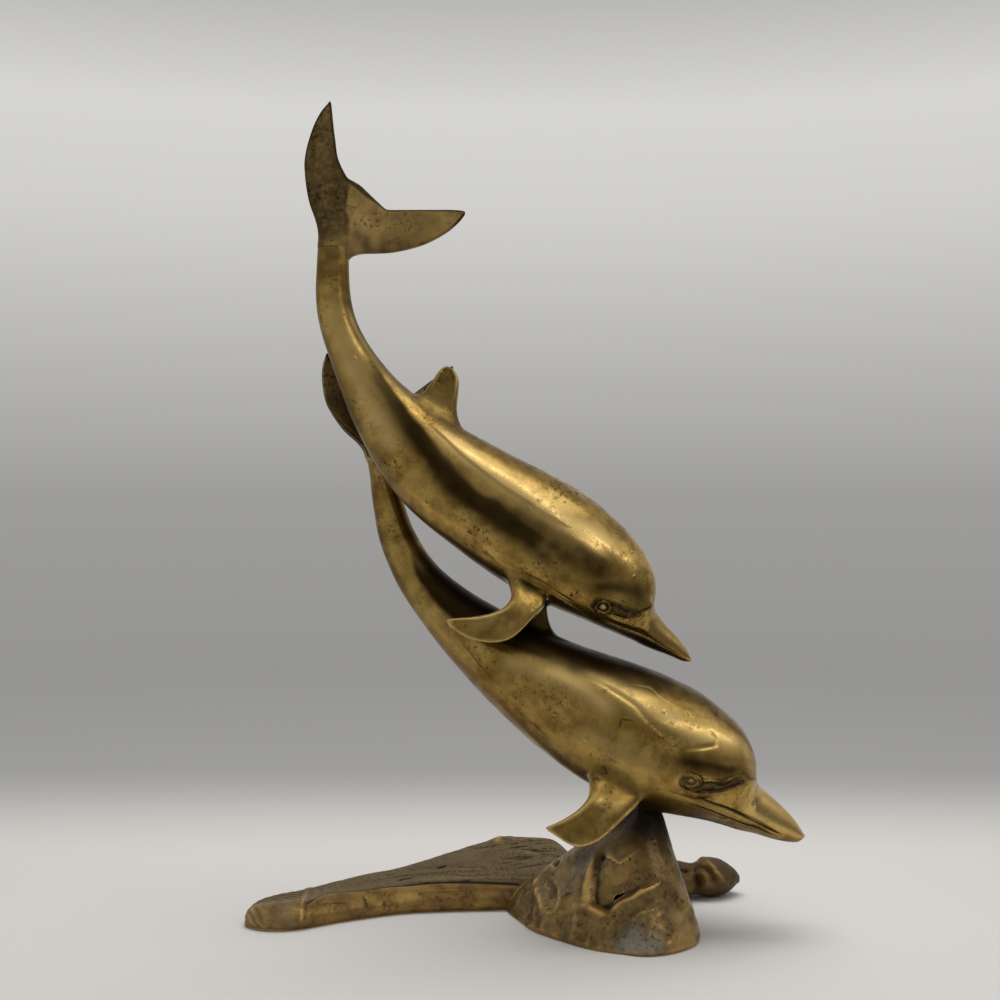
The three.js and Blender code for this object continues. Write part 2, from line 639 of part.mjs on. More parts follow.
// The rock's ceiling carries the washer, and the nut and the stud's end hang below it.
const ceilingHeight = rockHeight - rockTopThickness;
const washerFoot = ceilingHeight - brazeGap - washerThickness;
const nutFoot = washerFoot - brazeGap - nutThickness;
const studFoot = nutFoot - studEnd;
const studHead = rockHeight + studReach;
const boltHole = bar(studRadius + holePlay, studFoot - holePlay, studHead + studRadius, studAt);

// The seats: each body grown by the braze gap, to trim what is brazed to it.
const upperSeat = wholeBody(upperBody, brazeGap);
const lowerSeat = wholeBody(lowerBody, brazeGap);

// The upper dorsal fin is dished on both faces.
function dishedFin() {
  const { at, wide, tall, lean, finHalf } = dorsalDish;
  const [x, , z] = onRock(at);
  const dish = (sign) => {
    const ball = new THREE.SphereGeometry(1, ballSides, ballRings);
    ball.scale(wide / 2, 2 * dorsalDishDepth, tall / 2);
    ball.rotateY(THREE.MathUtils.degToRad(lean));
    ball.translate(x, sign * (finHalf + dorsalDishDepth), z);
    return solidFrom(ball);
  };
  return fin(upperDorsal).subtract(dish(1)).subtract(dish(-1));
}

const upperDolphin = new THREE.Group();
const upperFlukeSolid = fin(flukeStations(upperFlukes)).add(flukeRoot(upperFlukes, upperBody));
const upperLeftFin = fin(mirrored(upperPectoral, 0, upperFarSwing));
upperDolphin.add(
  casting("upper_body_right_half", halfWithFace(upperBody, upperFace, -1), polishedBrass),
  casting("upper_body_left_half", halfWithFace(upperBody, upperFace, 1), polishedBrass),
  casting("upper_flukes", upperFlukeSolid.subtract(upperSeat), polishedBrass),
  casting("upper_dorsal_fin", dishedFin().subtract(upperSeat), polishedBrass),
  casting("upper_right_pectoral_fin", fin(upperPectoral).subtract(upperSeat), polishedBrass),
  casting("upper_left_pectoral_fin", upperLeftFin.subtract(upperSeat), polishedBrass),
);

// The lower dolphin's halves clear the stud, and its tail is brazed to the upper dolphin's flank.
const lowerHalf = (sign) =>
  halfWithFace(lowerBody, lowerFace, sign).subtract(boltHole).subtract(upperSeat);

const lowerDolphin = new THREE.Group();
const lowerFlukeSolid = fin(flukeStations(lowerFlukes)).add(flukeRoot(lowerFlukes, lowerBody));
const lowerLeftFin = fin(mirrored(lowerPectoral, lowerFinSide, lowerFarSwing));
const boss = bar(studRadius + bossWall, rockHeight - bossDrop, rockHeight + bossRise, studAt)
  .intersect(wholeBody(lowerBody, -bodyWall - brazeGap))
  .subtract(boltHole);
lowerDolphin.add(
  casting("lower_body_right_half", lowerHalf(-1), polishedBrass),
  casting("lower_body_left_half", lowerHalf(1), polishedBrass),
  casting("lower_flukes", lowerFlukeSolid.subtract(lowerSeat).subtract(upperSeat), polishedBrass),
  casting("lower_dorsal_fin", fin(lowerDorsal).subtract(lowerSeat).subtract(upperSeat), polishedBrass),
  casting("lower_right_pectoral_fin", fin(lowerPectoral).subtract(lowerSeat), polishedBrass),
  casting("lower_left_pectoral_fin", lowerLeftFin.subtract(lowerSeat), polishedBrass),
  casting("stud_boss", boss, polishedBrass),
);

const base = new THREE.Group();
const rock = rockOutside(0).subtract(rockInside()).subtract(lowerSeat).subtract(boltHole);
const rockSeat = rockOutside(brazeGap);
base.add(
  casting("base_rock", rock, agedBrass),
  casting("base_driftwood_limb", limbOutside().subtract(limbInside()).subtract(rockSeat), agedBrass),
  casting("base_broken_branch", branchStub().subtract(rockSeat), agedBrass),
);

const fasteners = new THREE.Group();
fasteners.position.set(studAt[0], studAt[1], 0);
const stud = casting("mounting_stud", bar(studRadius, studFoot, studHead), steel);
const disc = new THREE.Shape().absarc(0, 0, studRadius + washerWidth, 0, 2 * Math.PI);
const washer = new THREE.Mesh(drilled(disc, studRadius + holePlay, washerThickness), steel);
washer.name = "mounting_washer";
washer.position.z = washerFoot;
const hexNut = hexagon(2 * (studRadius + nutWall));
const nut = new THREE.Mesh(drilled(hexNut, studRadius + brazeGap, nutThickness), steel);
nut.name = "mounting_nut";
nut.position.z = nutFoot;
fasteners.add(stud, washer, nut);

// The origin lies under the middle of the whole sculpture, on the surface that it stands on.
const sculpture = new THREE.Group();
sculpture.add(upperDolphin, lowerDolphin, base, fasteners);
const extent = new THREE.Box3().setFromObject(sculpture);
const middle = extent.getCenter(new THREE.Vector3());
sculpture.position.set(-middle.x, -middle.y, -extent.min.z);

export default sculpture;
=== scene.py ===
import itertools
import math

import bmesh
import bpy
import numpy as np
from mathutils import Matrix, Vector
from mathutils.bvhtree import BVHTree
from mathutils.kdtree import KDTree


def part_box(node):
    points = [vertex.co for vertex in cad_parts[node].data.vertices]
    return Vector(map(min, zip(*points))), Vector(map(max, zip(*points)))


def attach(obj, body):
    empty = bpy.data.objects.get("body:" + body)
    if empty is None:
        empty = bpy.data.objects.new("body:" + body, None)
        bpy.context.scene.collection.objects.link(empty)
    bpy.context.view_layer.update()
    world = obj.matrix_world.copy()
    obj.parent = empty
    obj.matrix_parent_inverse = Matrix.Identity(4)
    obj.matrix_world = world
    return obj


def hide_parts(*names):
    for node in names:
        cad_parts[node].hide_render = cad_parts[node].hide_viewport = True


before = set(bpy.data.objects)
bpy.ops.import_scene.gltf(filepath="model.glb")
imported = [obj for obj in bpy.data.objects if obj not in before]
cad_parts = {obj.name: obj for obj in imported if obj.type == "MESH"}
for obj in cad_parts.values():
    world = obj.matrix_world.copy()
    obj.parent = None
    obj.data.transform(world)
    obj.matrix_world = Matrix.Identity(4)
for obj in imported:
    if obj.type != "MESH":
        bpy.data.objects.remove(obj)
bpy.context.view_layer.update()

# Drawing frame: millimetres, X the way the beaks point, -Y towards the viewer, Z up from the floor
MM = 0.001
PEAK = 80.0
STUD_AT = (86.0, -2.0)
stud_low, stud_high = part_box("mounting_stud")
SHIFT = np.array([
    (stud_low.x + stud_high.x) / 2 - STUD_AT[0] * MM,
    (stud_low.y + stud_high.y) / 2 - STUD_AT[1] * MM,
    0.0,
])

# Camera, as it stood when the object was photographed
FOCAL_PX = 1388.9
EYE = np.array([0.0, -851.0, 262.0])

# Upper dolphin, tail to beak: back x, back z, belly x, belly z, side, half width. Heights from the peak.
UPPER_BODY = [
    (-92.6, 336.5, -111.6, 336.5, 0, 6.5),
    (-92.6, 310.7, -113.4, 309.5, 0, 7.5),
    (-88.3, 291.7, -111, 289.3, 0, 8.5),
    (-79.1, 274.6, -104.2, 269, 0, 11),
    (-64.4, 256.8, -95, 240.2, 0, 14.5),
    (-46.6, 241.5, -82.1, 214.5, 0, 18.5),
    (-25.7, 226.7, -63.5, 183.6, 0, 23),
    (4.9, 210.8, -34.4, 158.2, 0, 28),
    (36.8, 194.9, -3.7, 135, 0, 31.5),
    (61.9, 178.9, 24.5, 120.1, 0, 31.5),
    (82.1, 159.3, 52.7, 108.4, 0, 27.5),
    (93.2, 141.5, 72.3, 99.9, 0, 21.5),
    (95.6, 126.8, 80.9, 96.2, 0, 17),
    (94.4, 117, 87, 93.1, 0, 13),
    (100.5, 107.2, 94.4, 90, 0, 10),
    (109.6, 97, 104.2, 86.4, 0, 6.5),
    (115.2, 89.4, 111.6, 83.3, 0, 4),
    (117, 85, 115.5, 83, 0, 1.6),
]
# Lower dolphin, whose tail bends sideways behind the upper one
LOWER_BODY = [
    (-68.7, 213.5, -84.4, 212.2, 20.6, 7),
    (-64.3, 194.6, -81.3, 193.3, 20.6, 8),
    (-55.3, 164.4, -77.3, 161.3, 18.6, 9.5),
    (-42.5, 145.1, -68.8, 139.5, 15.4, 11.5),
    (-33, 135.3, -59.8, 121.6, 14, 13.5),
    (-12.4, 120.7, -42.7, 98.4, 9, 18),
    (18.5, 105.5, -19.1, 71, 5, 24),
    (51, 91.7, 8, 43.8, 2, 30),
    (88.9, 80.2, 41.1, 16.5, 0, 35.5),
    (122.3, 65.2, 76.5, -3.3, -2, 36),
    (137.4, 53.1, 102.6, -8.6, -3, 33),
    (148.3, 42.3, 122, -12, -4, 28.5),
    (155, 26.4, 135.4, -15.7, -4, 22),
    (156, 10.8, 145, -18.5, -5, 16),
    (163.3, 3.4, 153.6, -20.3, -5, 13),
    (171.9, -4.5, 164.5, -23.8, -5, 10),
    (179.2, -12.4, 174.3, -26, -5, 7),
    (183.4, -18.5, 181, -26.2, -5, 4.2),
    (185, -21.5, 184.3, -24, -5, 1.8),
]
SECTION_FULLNESS = 0.92
BODY_WALL = 3.2

# Fins, root to tip: leading edge, trailing edge, thickness
UPPER_DORSAL = [
    ((-14.7, 0, 215.7), (-61.3, 0, 246.4), 16),
    ((-23.3, 0, 226.1), (-52.7, 0, 245.1), 12),
    ((-26.4, 0, 235.9), (-46.6, 0, 248.2), 9),
    ((-25.7, 0, 246.4), (-42.9, 0, 253.1), 8),
    ((-25.1, 0, 255.6), (-39.2, 0, 258.6), 7),
    ((-28.2, 0, 261.7), (-36.2, 0, 262.3), 5),
    ((-31.8, 0, 263.8), (-33.2, 0, 263.9), 2),
]
UPPER_PECTORAL = [
    ((28.2, -14, 126.3), (3.6, -14, 139.2), 12),
    ((26.2, -24, 118.9), (6.6, -24, 127.2), 8),
    ((19.5, -29, 111.5), (4.7, -29, 121), 6.5),
    ((7.7, -32, 100.6), (-1.8, -32, 116.5), 5.5),
    ((-4.7, -34, 97.8), (-12.9, -34, 113.7), 4.5),
    ((-18.8, -35, 100.9), (-23.5, -35, 112.9), 3.5),
    ((-28.8, -35.5, 107.4), (-31.1, -35.5, 112.1), 2.4),
]
LOWER_DORSAL = [
    ((58.3, 2, 83.8), (0.9, 2, 100.4), 17),
    ((45.5, 2, 94.1), (11.1, 2, 107), 11.5),
    ((35, 2, 98.8), (14.7, 2, 112), 9),
    ((29.6, 1.5, 108.9), (16.6, 1.5, 117.5), 8.5),
    ((28.4, 1, 124.6), (17.2, 1, 131.9), 9.5),
]
LOWER_PECTORAL = [
    ((90.8, -17, 12), (55, -17, 28), 17),
    ((82, -29, 2), (53, -28, 18), 11),
    ((73, -35, -5.5), (52.6, -35, 10.5), 8.5),
    ((63.5, -39.5, -13), (50, -39.5, 6), 6.5),
    ((54, -43, -18.4), (43.5, -43, 0.5), 5),
    ((43, -45, -19.4), (34.5, -45, -4.3), 4),
    ((29, -46, -10.5), (26.7, -46, -7.5), 2.6),
]
UPPER_FAR_SWING = math.radians(18)
LOWER_FAR_SWING = math.radians(34)
LOWER_FIN_SIDE = -2

# Flukes in their own plane, from the tail's end round the right lobe to the left one: right, back
FLUKE_OUTLINE = [
    (13.6, -9.5), (14, -6), (12.1, -2.5), (12.2, 0.6), (13.8, 3.4), (17.6, 7), (23.7, 11.2), (30.6, 16.3),
    (37, 22.3), (42.9, 29), (47.4, 35.5), (51.1, 42.3), (53.7, 48.4), (55.2, 54), (55.9, 58.5),
    (56, 61.5),
    (55.3, 62.8), (52.9, 62.1), (47.1, 58.7), (39.5, 53.5), (31.9, 48.4), (24.2, 43.2), (18.1, 39.1),
    (14.9, 37.3), (12.7, 37.3), (8.7, 38), (1.2, 39.4), (-6.2, 40.8), (-12, 40.7), (-15.6, 40.6),
    (-19.2, 42.3), (-23.9, 45.1), (-29.1, 49.1), (-35.1, 56.1), (-41.1, 63.2), (-46.9, 70.4), (-50, 74.2),
    (-51.3, 75.1), (-51.5, 73.2), (-52, 70), (-52.4, 66.1), (-51.9, 59.1), (-50.3, 51.5), (-47.7, 42.9),
    (-44.1, 35), (-41, 30.5), (-37.6, 26.1), (-32.3, 20), (-26.4, 14.3), (-19.2, 8.8), (-14.1, 4.2),
    (-10.6, -0.4), (-8.6, -4.6), (-5.2, -8), (0.5, -14.5), (4, -17),
]
FLUKE_THICKNESS = ((0, 3.3), (18, 2.8), (38, 1.9), (56, 1.2))
FLUKE_CURL = 5
FLUKE_LENGTH = 56
# Grain of the mesh and half thickness of the slab that flukes are made from
FLUKE_GRAIN = 0.7
FLUKE_SLAB = 8.0
# Painted shadow on the flukes: where it ends on the upper ones, and how strong it is all over the lower
# ones
LOWER_FLUKE_SHADOW = 0.85
FLUKE_SHADOW = (91.5, 94.5)
UPPER_FLUKES = {
    "joint": (-102, 0, 336.5), "back": (0.54, 0, 0.84), "right": (0.84, 0, -0.54), "size": 1.0,
    "reach": 1.0, "lift": 0.0,
}
LOWER_FLUKES = {
    "joint": (-76.5, 20.6, 212.8), "back": (0.04, 0.2, 0.96), "right": (0.86, 0.5, -0.05), "size": 0.85,
    "reach": 1.01, "lift": 0.1,
}

# Rock: footprint as x, y, fullness, and scooped hollows as centre, reach, depth
ROCK_PEAK = (92, -3)
ROCK_PEAK_RADIUS = 3
ROCK_FOOTPRINT = [
    (2, 42, 1.15), (12, 8, 1.15), (24, -14, 1.2), (50, -41, 1.4), (72, -52, 1.5),
    (88, -55, 1.6), (106, -46, 1.4), (118, -30, 1.25), (121, -5, 1.1), (123, 28, 1.1),
    (120, 54, 1.1), (104, 72, 1.3), (70, 78, 1.3), (34, 72, 1.2), (12, 62, 1.15),
]
ROCK_SCOOPS = [
    ((64, -40, 26), 17, 7), ((100, -38, 18), 12, 4), ((108, 30, 26), 20, 7),
    ((34, 2, 30), 14, 5), ((60, 52, 34), 20, 7),
]
ROCK_FOOT_DEPTH = 7
ROCK_WALL = 6
ROCK_CEILING = 50

# Driftwood limb: x of its root, length, wall, rounded ends
LIMB_ROOT = 52
LIMB_LENGTH = 209
LIMB_WALL = 5
LIMB_NOSE = 2.5
LIMB_END = 32
# Its sawn end: where that begins, the heart of its growth rings and how wide a ring is
LIMB_CUT_AT = -128
LIMB_HEART = (-146, 2, 2)
LIMB_RING_WIDTH = 2.2
# Tip to root: share of the length, front foot, back foot, shoulder, ridge
LIMB = [
    (1, 3, 12, 6, 7),
    (0.971, -3, 19, 11.5, 12),
    (0.919, -7, 26, 14.5, 14.5),
    (0.842, -5, 32, 15, 16.5),
    (0.718, 11, 50, 14.5, 19),
    (0.555, 28, 70, 14.5, 21.5),
    (0.431, 33, 80, 15.5, 27),
    (0.325, 35, 88, 16.5, 32),
    (0.239, 37, 93, 18, 35.5),
    (0.115, 40, 95, 22, 35),
    (0, 46, 88, 24, 29),
]
# Broken branch: x, centre y, centre z, half y, half z
BRANCH = [
    (96, 58, 12, 18, 12), (114, 62, 12.6, 16, 12), (127, 66, 11.6, 12, 10), (135, 69, 12.6, 15, 12.2),
    (146, 71, 11.8, 13, 11.2), (154, 72, 11, 8, 7), (159, 72.5, 10, 2, 2),
]
BRANCH_END = 108

# Fasteners under the rock
STUD_RADIUS = 4
THREAD_PITCH = 1.25
THREAD_DEPTH = 0.7
THREAD_ROWS = 8.0
THREAD_SIDES = 40


# A smooth run through rows of numbers, read at places between 0 and the last row
def run_through(rows, places):
    rows = np.asarray(rows, float)
    places = np.asarray(places, float)
    last = len(rows) - 1
    start = np.clip(np.floor(places).astype(int), 0, last - 1)
    t = (places - start)[..., None]
    a, b, c, d = (rows[np.clip(start + k, 0, last)] for k in (-1, 0, 1, 2))
    bend = (2 * a - 5 * b + 4 * c - d) * t**2 + (3 * b - 3 * c + d - a) * t**3
    return b + 0.5 * ((c - a) * t + bend)


# Rises softly from 0 at one value to 1 at another
def smooth_step(values, low, high):
    t = np.clip((values - low) / (high - low), 0, 1)
    return t * t * (3 - 2 * t)


def unit(vectors):
    return vectors / np.maximum(np.linalg.norm(vectors, axis=-1, keepdims=True), 1e-12)


# Rows smoothed with a kernel; both ends stay in place, because the rows carry on past them
def smoothed(rows, kernel):
    kernel = kernel / kernel.sum()
    reach = len(kernel) // 2
    before = 2 * rows[0] - rows[reach:0:-1]
    after = 2 * rows[-1] - rows[-2:-reach - 2:-1]
    padded = np.vstack([before, rows, after])
    return np.stack([np.convolve(column, kernel, "valid") for column in padded.T], axis=1)


# A smooth line through marks, with several steps between each two
def smooth_line(marks, steps):
    marks = np.asarray(marks, float)
    if len(marks) < 2:
        return marks
    return run_through(marks, np.linspace(0, len(marks) - 1, (len(marks) - 1) * steps + 1))


# Strength along a line that fades at both ends
def faded(along, start, end):
    return smooth_step(along, 0.0, start) * (1 - smooth_step(along, end, 1.0))


# Widths spread evenly along a line, read at places between 0 and 1
def width_at(along, widths):
    return np.interp(along, np.linspace(0, 1, len(widths)), widths)


# How far each place of a grid lies from the start of its row
def run_across(rows):
    steps = np.linalg.norm(np.diff(rows, axis=1), axis=2)
    return np.concatenate([np.zeros((len(rows), 1)), np.cumsum(steps, axis=1)], axis=1)


# Angles spread evenly round a full turn
def turns(count):
    return 2 * math.pi * np.arange(count) / count


# Numbers that stir the noise, and how far apart in its grid two seeds lie
NOISE_PRIMES = np.array((73856093, 19349663, 83492791))
NOISE_SEED_PRIME = 2654435761
NOISE_STIR = 1274126177
NOISE_SEED_STEP = 31.7


# Even noise between -1 and 1 with lumps of one size in millimetres, the same on every run
def soft_noise(points, size, seed=0):
    flat = points.reshape(-1, 3) / size + NOISE_SEED_STEP * (seed + 1)
    cell = np.floor(flat).astype(np.int64)
    t = flat - cell
    t = t * t * t * (t * (t * 6 - 15) + 10)
    total = np.zeros(len(flat))
    for corner in itertools.product((0, 1), repeat=3):
        key = cell + np.array(corner)
        mix = np.bitwise_xor.reduce(key * NOISE_PRIMES, axis=1) ^ (seed * NOISE_SEED_PRIME)
        mix = ((mix ^ (mix >> 13)) * NOISE_STIR) & 0xFFFFFFFF
        value = ((mix ^ (mix >> 16)) & 0xFFFF) / 32767.5 - 1
        total += value * np.prod(np.where(corner, t, 1 - t), axis=1)
    return total.reshape(points.shape[:-1])


# Distance from points to a line of points, which side they lie on, and how far along it they are
def line_distance(points, line, normals=None):
    line = np.asarray(line, float)
    best = np.full(len(points), np.inf)
    side = np.zeros(len(points))
    along = np.zeros(len(points))
    lengths = np.linalg.norm(np.diff(line, axis=0), axis=1)
    total = lengths.sum()
    done = 0.0
    for start, step, length in zip(line[:-1], np.diff(line, axis=0), lengths):
        t = np.clip(((points - start) @ step) / length**2, 0, 1)
        offset = points - start - t[:, None] * step
        distance = np.linalg.norm(offset, axis=1)
        nearer = distance < best
        best[nearer] = distance[nearer]
        along[nearer] = (done + t[nearer] * length) / total
        if normals is not None:
            across = np.cross(step, normals[nearer])
            side[nearer] = np.sign(np.sum(offset[nearer] * across, axis=1))
        done += length
    return best, side, along


# Which points lie near a line
def near_line(points, line, reach):
    low, high = line.min(axis=0) - reach, line.max(axis=0) + reach
    return np.nonzero(np.all((points > low) & (points < high), axis=1))[0]


# Lift of a carved ridge, groove or pit, soft at its ends
def carved(points, line, height, width):
    lift = np.zeros(len(points))
    near = near_line(points, line, 2.6 * width)
    if len(line) > 1:
        distance, _, along = line_distance(points[near], line)
        ends = np.sin(np.clip(along, 0.02, 0.98) * math.pi) ** 0.4
    else:
        distance = np.linalg.norm(points[near] - line[0], axis=1)
        ends = 1.0
    lift[near] = height * ends * np.exp(-(distance / width) ** 2)
    return lift


# Lift of a ledge: seen from outside, the skin drops just right of a line and comes back over a width
def ledge(points, normals, line, depth, lip, width, turn=1):
    lift = np.zeros(len(points))
    near = near_line(points, line, 2.2 * width)
    distance, side, along = line_distance(points[near], line, normals[near])
    across = np.maximum(distance * side * turn, 0)
    ends = faded(along, 0.15, 0.85)
    lift[near] = -depth * ends * smooth_step(across, 0, lip) * np.exp(-(across / width) ** 2)
    return lift


# Steps between two stations of a body, and how far they are blended, in stations: less on the head
STATION_STEPS = 40
BODY_SOFTNESS = 0.42
HEAD_SOFTNESS = 0.2


# Places on a body's skin: stations smoothed along the body, then read as sections
class Body:
    def __init__(self, rows, head):
        self.last = len(rows) - 1
        self.places = np.linspace(0, self.last, self.last * STATION_STEPS + 1)
        table = run_through(rows, self.places)
        table[:, 1] += PEAK
        table[:, 3] += PEAK
        share = smooth_step(self.places, head - 1, head + 1)[:, None]
        soft_table = smoothed(table, self.bell(BODY_SOFTNESS * STATION_STEPS))
        head_table = smoothed(table, self.bell(HEAD_SOFTNESS * STATION_STEPS))
        self.table = soft_table * (1 - share) + head_table * share

    @staticmethod
    def bell(sigma):
        reach = int(3 * sigma)
        return np.exp(-0.5 * (np.arange(-reach, reach + 1) / sigma) ** 2)

    def read(self, place):
        return [np.interp(place, self.places, column) for column in self.table.T]

    def skin(self, place, angle, sign, inset=0.0):
        back_x, back_z, belly_x, belly_z, side, half = self.read(place)
        middle_x, middle_z = (back_x + belly_x) / 2, (back_z + belly_z) / 2
        up_x, up_z = (back_x - belly_x) / 2, (back_z - belly_z) / 2
        tall = np.hypot(up_x, up_z)
        tall_share = np.maximum(tall - inset, 0.3 * tall) / tall
        wide = np.maximum(half - inset, 0.2)
        across = np.abs(np.sin(angle)) ** SECTION_FULLNESS * wide
        rise = np.cos(angle) * tall_share
        points = [middle_x + up_x * rise, side + sign * across, middle_z + up_z * rise]
        return np.stack(np.broadcast_arrays(*points), axis=-1)

    def normal(self, place, angle, sign):
        ahead = np.minimum(place + 0.02, self.last)
        behind = np.maximum(place - 0.02, 0)
        angle = np.clip(angle, 0.012, math.pi - 0.012)
        along = self.skin(ahead, angle, sign) - self.skin(behind, angle, sign)
        around = self.skin(place, angle + 0.01, sign) - self.skin(place, angle - 0.01, sign)
        return unit(np.cross(along, around)) * -sign

    def line(self, marks, sign):
        marks = smooth_line(marks, 6)
        angle = np.arccos(np.clip(marks[:, 1], -1, 1))
        return self.skin(marks[:, 0], angle, sign)


upper_body = Body(UPPER_BODY, head=10)
lower_body = Body(LOWER_BODY, head=10.5)

# Faces and marks on the stations: place along the body, height in the section from -1 belly to 1 back.
# A carved line has its marks, then its height and width in millimetres.
UPPER_FACE = {
    "brow": [(9.6, -0.52), (9.88, -0.36), (10.19, -0.19), (10.63, -0.06), (11.34, 0.14), (11.9, 0.4),
             (12.7, 0.78)],
    "brow_roll": (0.45, 0.35, 7.0),
    "shade": (3.8, 4.8, 0.85),
    "beak": 0.3,
    "belly": 0.6,
    "mask": [(10.0, -0.55), (10.4, -0.46), (10.8, -0.38), (11.3, -0.22)],
    "mask_shape": (0.2, [4.6, 4.6, 4.0, 2.2]),
    "eye": (10.12, -0.55),
    "rings": [(2.9, -0.5, 0.55), (4.1, 0.34, 0.6), (5.4, -0.3, 0.65)],
    "bead": (2.3, 0.5),
    "lines": [
        ([(10.27, -0.41), (10.49, -0.37), (10.79, -0.34), (11.16, -0.29)], -0.4, 0.75),
        ([(10.45, -0.53), (10.68, -0.51), (10.99, -0.45)], -0.35, 0.7),
        ([(10.4, -0.6), (10.6, -0.6), (10.85, -0.56)], 0.3, 0.8),
        ([(10.04, -0.3), (10.18, -0.2), (10.45, -0.14), (10.68, -0.09)], 0.3, 0.9),
        ([(10.2, -0.28), (10.5, -0.24), (10.9, -0.2)], -0.25, 0.7),
        ([(11.12, -0.19), (11.47, 0.01), (11.84, 0.31), (11.97, 0.53)], -0.4, 1.6),
        ([(12.5, 0.7), (12.9, 0.9)], -0.3, 1.6),
        ([(10.42, -0.7), (10.75, -0.68), (11.4, -0.6), (12.4, -0.42), (13.51, -0.32), (14.69, -0.33)],
         -0.45, 0.7),
        ([(10.35, -0.77), (10.75, -0.77), (11.44, -0.72), (12.4, -0.6), (13.4, -0.47), (14.6, -0.41),
          (15.8, -0.4)], 0.45, 0.8),
        ([(10.3, -0.83), (10.8, -0.83), (11.5, -0.79), (12.4, -0.69), (13.5, -0.58), (14.7, -0.55),
          (15.8, -0.5)], -0.7, 0.8),
    ],
    "jaw": [(8.9, -0.97), (9.5, -0.85), (10.0, -0.82), (11.0, -0.8), (12.0, -0.73), (13.4, -0.57),
            (14.5, -0.54), (16.0, -0.46), (17.0, -0.4)],
    "pits": [((10.46, 0.37), 0.8), ((9.4, -0.62), 0.9), ((9.47, -0.54), 0.8), ((7.83, 0.31), 0.9),
             ((7.91, 0.5), 0.8), ((7.0, -0.35), 0.8)],
}
LOWER_FACE = {
    "brow": [(9.2, -0.3), (9.3, -0.16), (9.5, -0.08), (9.89, -0.03), (10.37, 0.02), (10.91, 0.1),
             (11.42, 0.3), (12.0, 0.52), (12.6, 0.8)],
    "brow_roll": (0.75, 0.8, 9.5),
    "shade": (5.0, 5.2, 0.95),
    "beak": 0.6,
    "belly": 0.15,
    "mask": [(9.72, -0.24), (10.1, -0.26), (10.6, -0.17), (11.0, -0.03), (11.5, 0.2)],
    "mask_shape": (0.55, [4.8, 4.8, 4.2, 3.4, 2.0]),
    "eye": (9.79, -0.2),
    "rings": [],
    "bead": (1.5, 0.25),
    "lines": [
        ([(9.45, -0.22), (9.5, -0.12), (9.72, -0.07), (10.02, -0.1), (10.12, -0.22), (9.93, -0.33),
          (9.66, -0.33), (9.45, -0.22)], -0.5, 0.65),
        ([(9.55, -0.21), (9.62, -0.13), (9.8, -0.12), (9.96, -0.16), (9.99, -0.23), (9.86, -0.29),
          (9.68, -0.29), (9.55, -0.21)], 0.35, 0.6),
        ([(9.65, -0.2), (9.75, -0.15), (9.87, -0.17), (9.91, -0.22), (9.82, -0.26), (9.71, -0.25),
          (9.65, -0.2)], -0.4, 0.5),
        ([(9.75, -0.37), (10.0, -0.38), (10.3, -0.3), (10.6, -0.2)], -0.4, 0.6),
        ([(10.3, -0.05), (10.6, -0.01), (10.95, 0.14), (11.2, 0.26)], -0.4, 0.6),
        ([(10.1, -0.19), (10.36, -0.1), (10.75, -0.08), (11.03, 0.1), (11.38, 0.26)], -0.55, 0.8),
        ([(10.12, -0.26), (10.36, -0.17), (10.75, -0.14), (11.05, 0.04)], 0.3, 0.7),
        ([(10.12, -0.33), (10.39, -0.25), (10.7, -0.21), (11.03, -0.03), (11.57, 0.22)], -0.5, 0.8),
        ([(9.6, -0.34), (9.8, -0.39), (10.1, -0.4), (10.5, -0.33), (10.85, -0.2)], 0.3, 0.9),
        ([(9.73, -0.41), (9.98, -0.46), (10.22, -0.47), (10.51, -0.41), (10.82, -0.4)], -0.4, 0.8),
        ([(10.3, -0.45), (10.63, -0.47), (11.05, -0.48), (11.59, -0.45), (12.21, -0.4), (13.14, -0.28),
          (13.9, -0.32), (14.58, -0.38), (15.4, -0.42)], -0.8, 0.85),
        ([(10.63, -0.53), (11.08, -0.55), (11.65, -0.53), (12.34, -0.49), (13.27, -0.4), (14.25, -0.48),
          (15.4, -0.52)], 0.4, 0.9),
        ([(10.09, -0.57), (10.64, -0.63), (11.26, -0.66), (11.86, -0.66), (12.6, -0.61), (13.51, -0.55),
          (14.38, -0.6), (15.4, -0.64)], -0.7, 0.85),
        ([(9.4, -0.5), (9.67, -0.52), (10.04, -0.54), (10.46, -0.57)], 0.35, 1.6),
        ([(11.21, -0.74), (11.5, -0.74), (11.86, -0.72)], -0.5, 0.8),
        ([(11.6, 0.31), (12.01, 0.5), (12.57, 0.78)], -0.35, 1.6),
        ([(7.25, 0.54), (7.51, 0.54), (7.81, 0.5), (8.11, 0.45), (8.29, 0.38), (8.51, 0.31), (8.81, 0.26),
          (9.22, 0.19)], 0.32, 1.6),
        ([(9.22, 0.19), (9.52, 0.3), (9.97, 0.48)], 0.45, 1.3),
        ([(9.97, 0.48), (9.85, 0.56), (9.67, 0.61)], 0.4, 1.3),
        ([(7.51, 0.6), (7.81, 0.68), (8.15, 0.77), (8.35, 0.72), (8.63, 0.69), (8.98, 0.71),
          (9.52, 0.74)], 0.35, 1.5),
        ([(8.11, 0.02), (8.09, 0.1), (8.06, 0.18), (8.14, 0.22), (8.23, 0.25)], -0.45, 0.8),
    ],
    "jaw": [(9.1, -0.66), (9.73, -0.7), (10.57, -0.74), (11.5, -0.78), (13.24, -0.8), (15.0, -0.74),
            (18.0, -0.7)],
    "pits": [((12.93, 0.2), 1.3), ((8.69, 0.2), 0.9), ((8.56, 0.55), 0.8), ((7.61, 0.48), 0.9),
             ((7.82, -0.34), 0.9), ((8.03, -0.52), 0.8), ((8.68, -0.93), 1.0)],
}
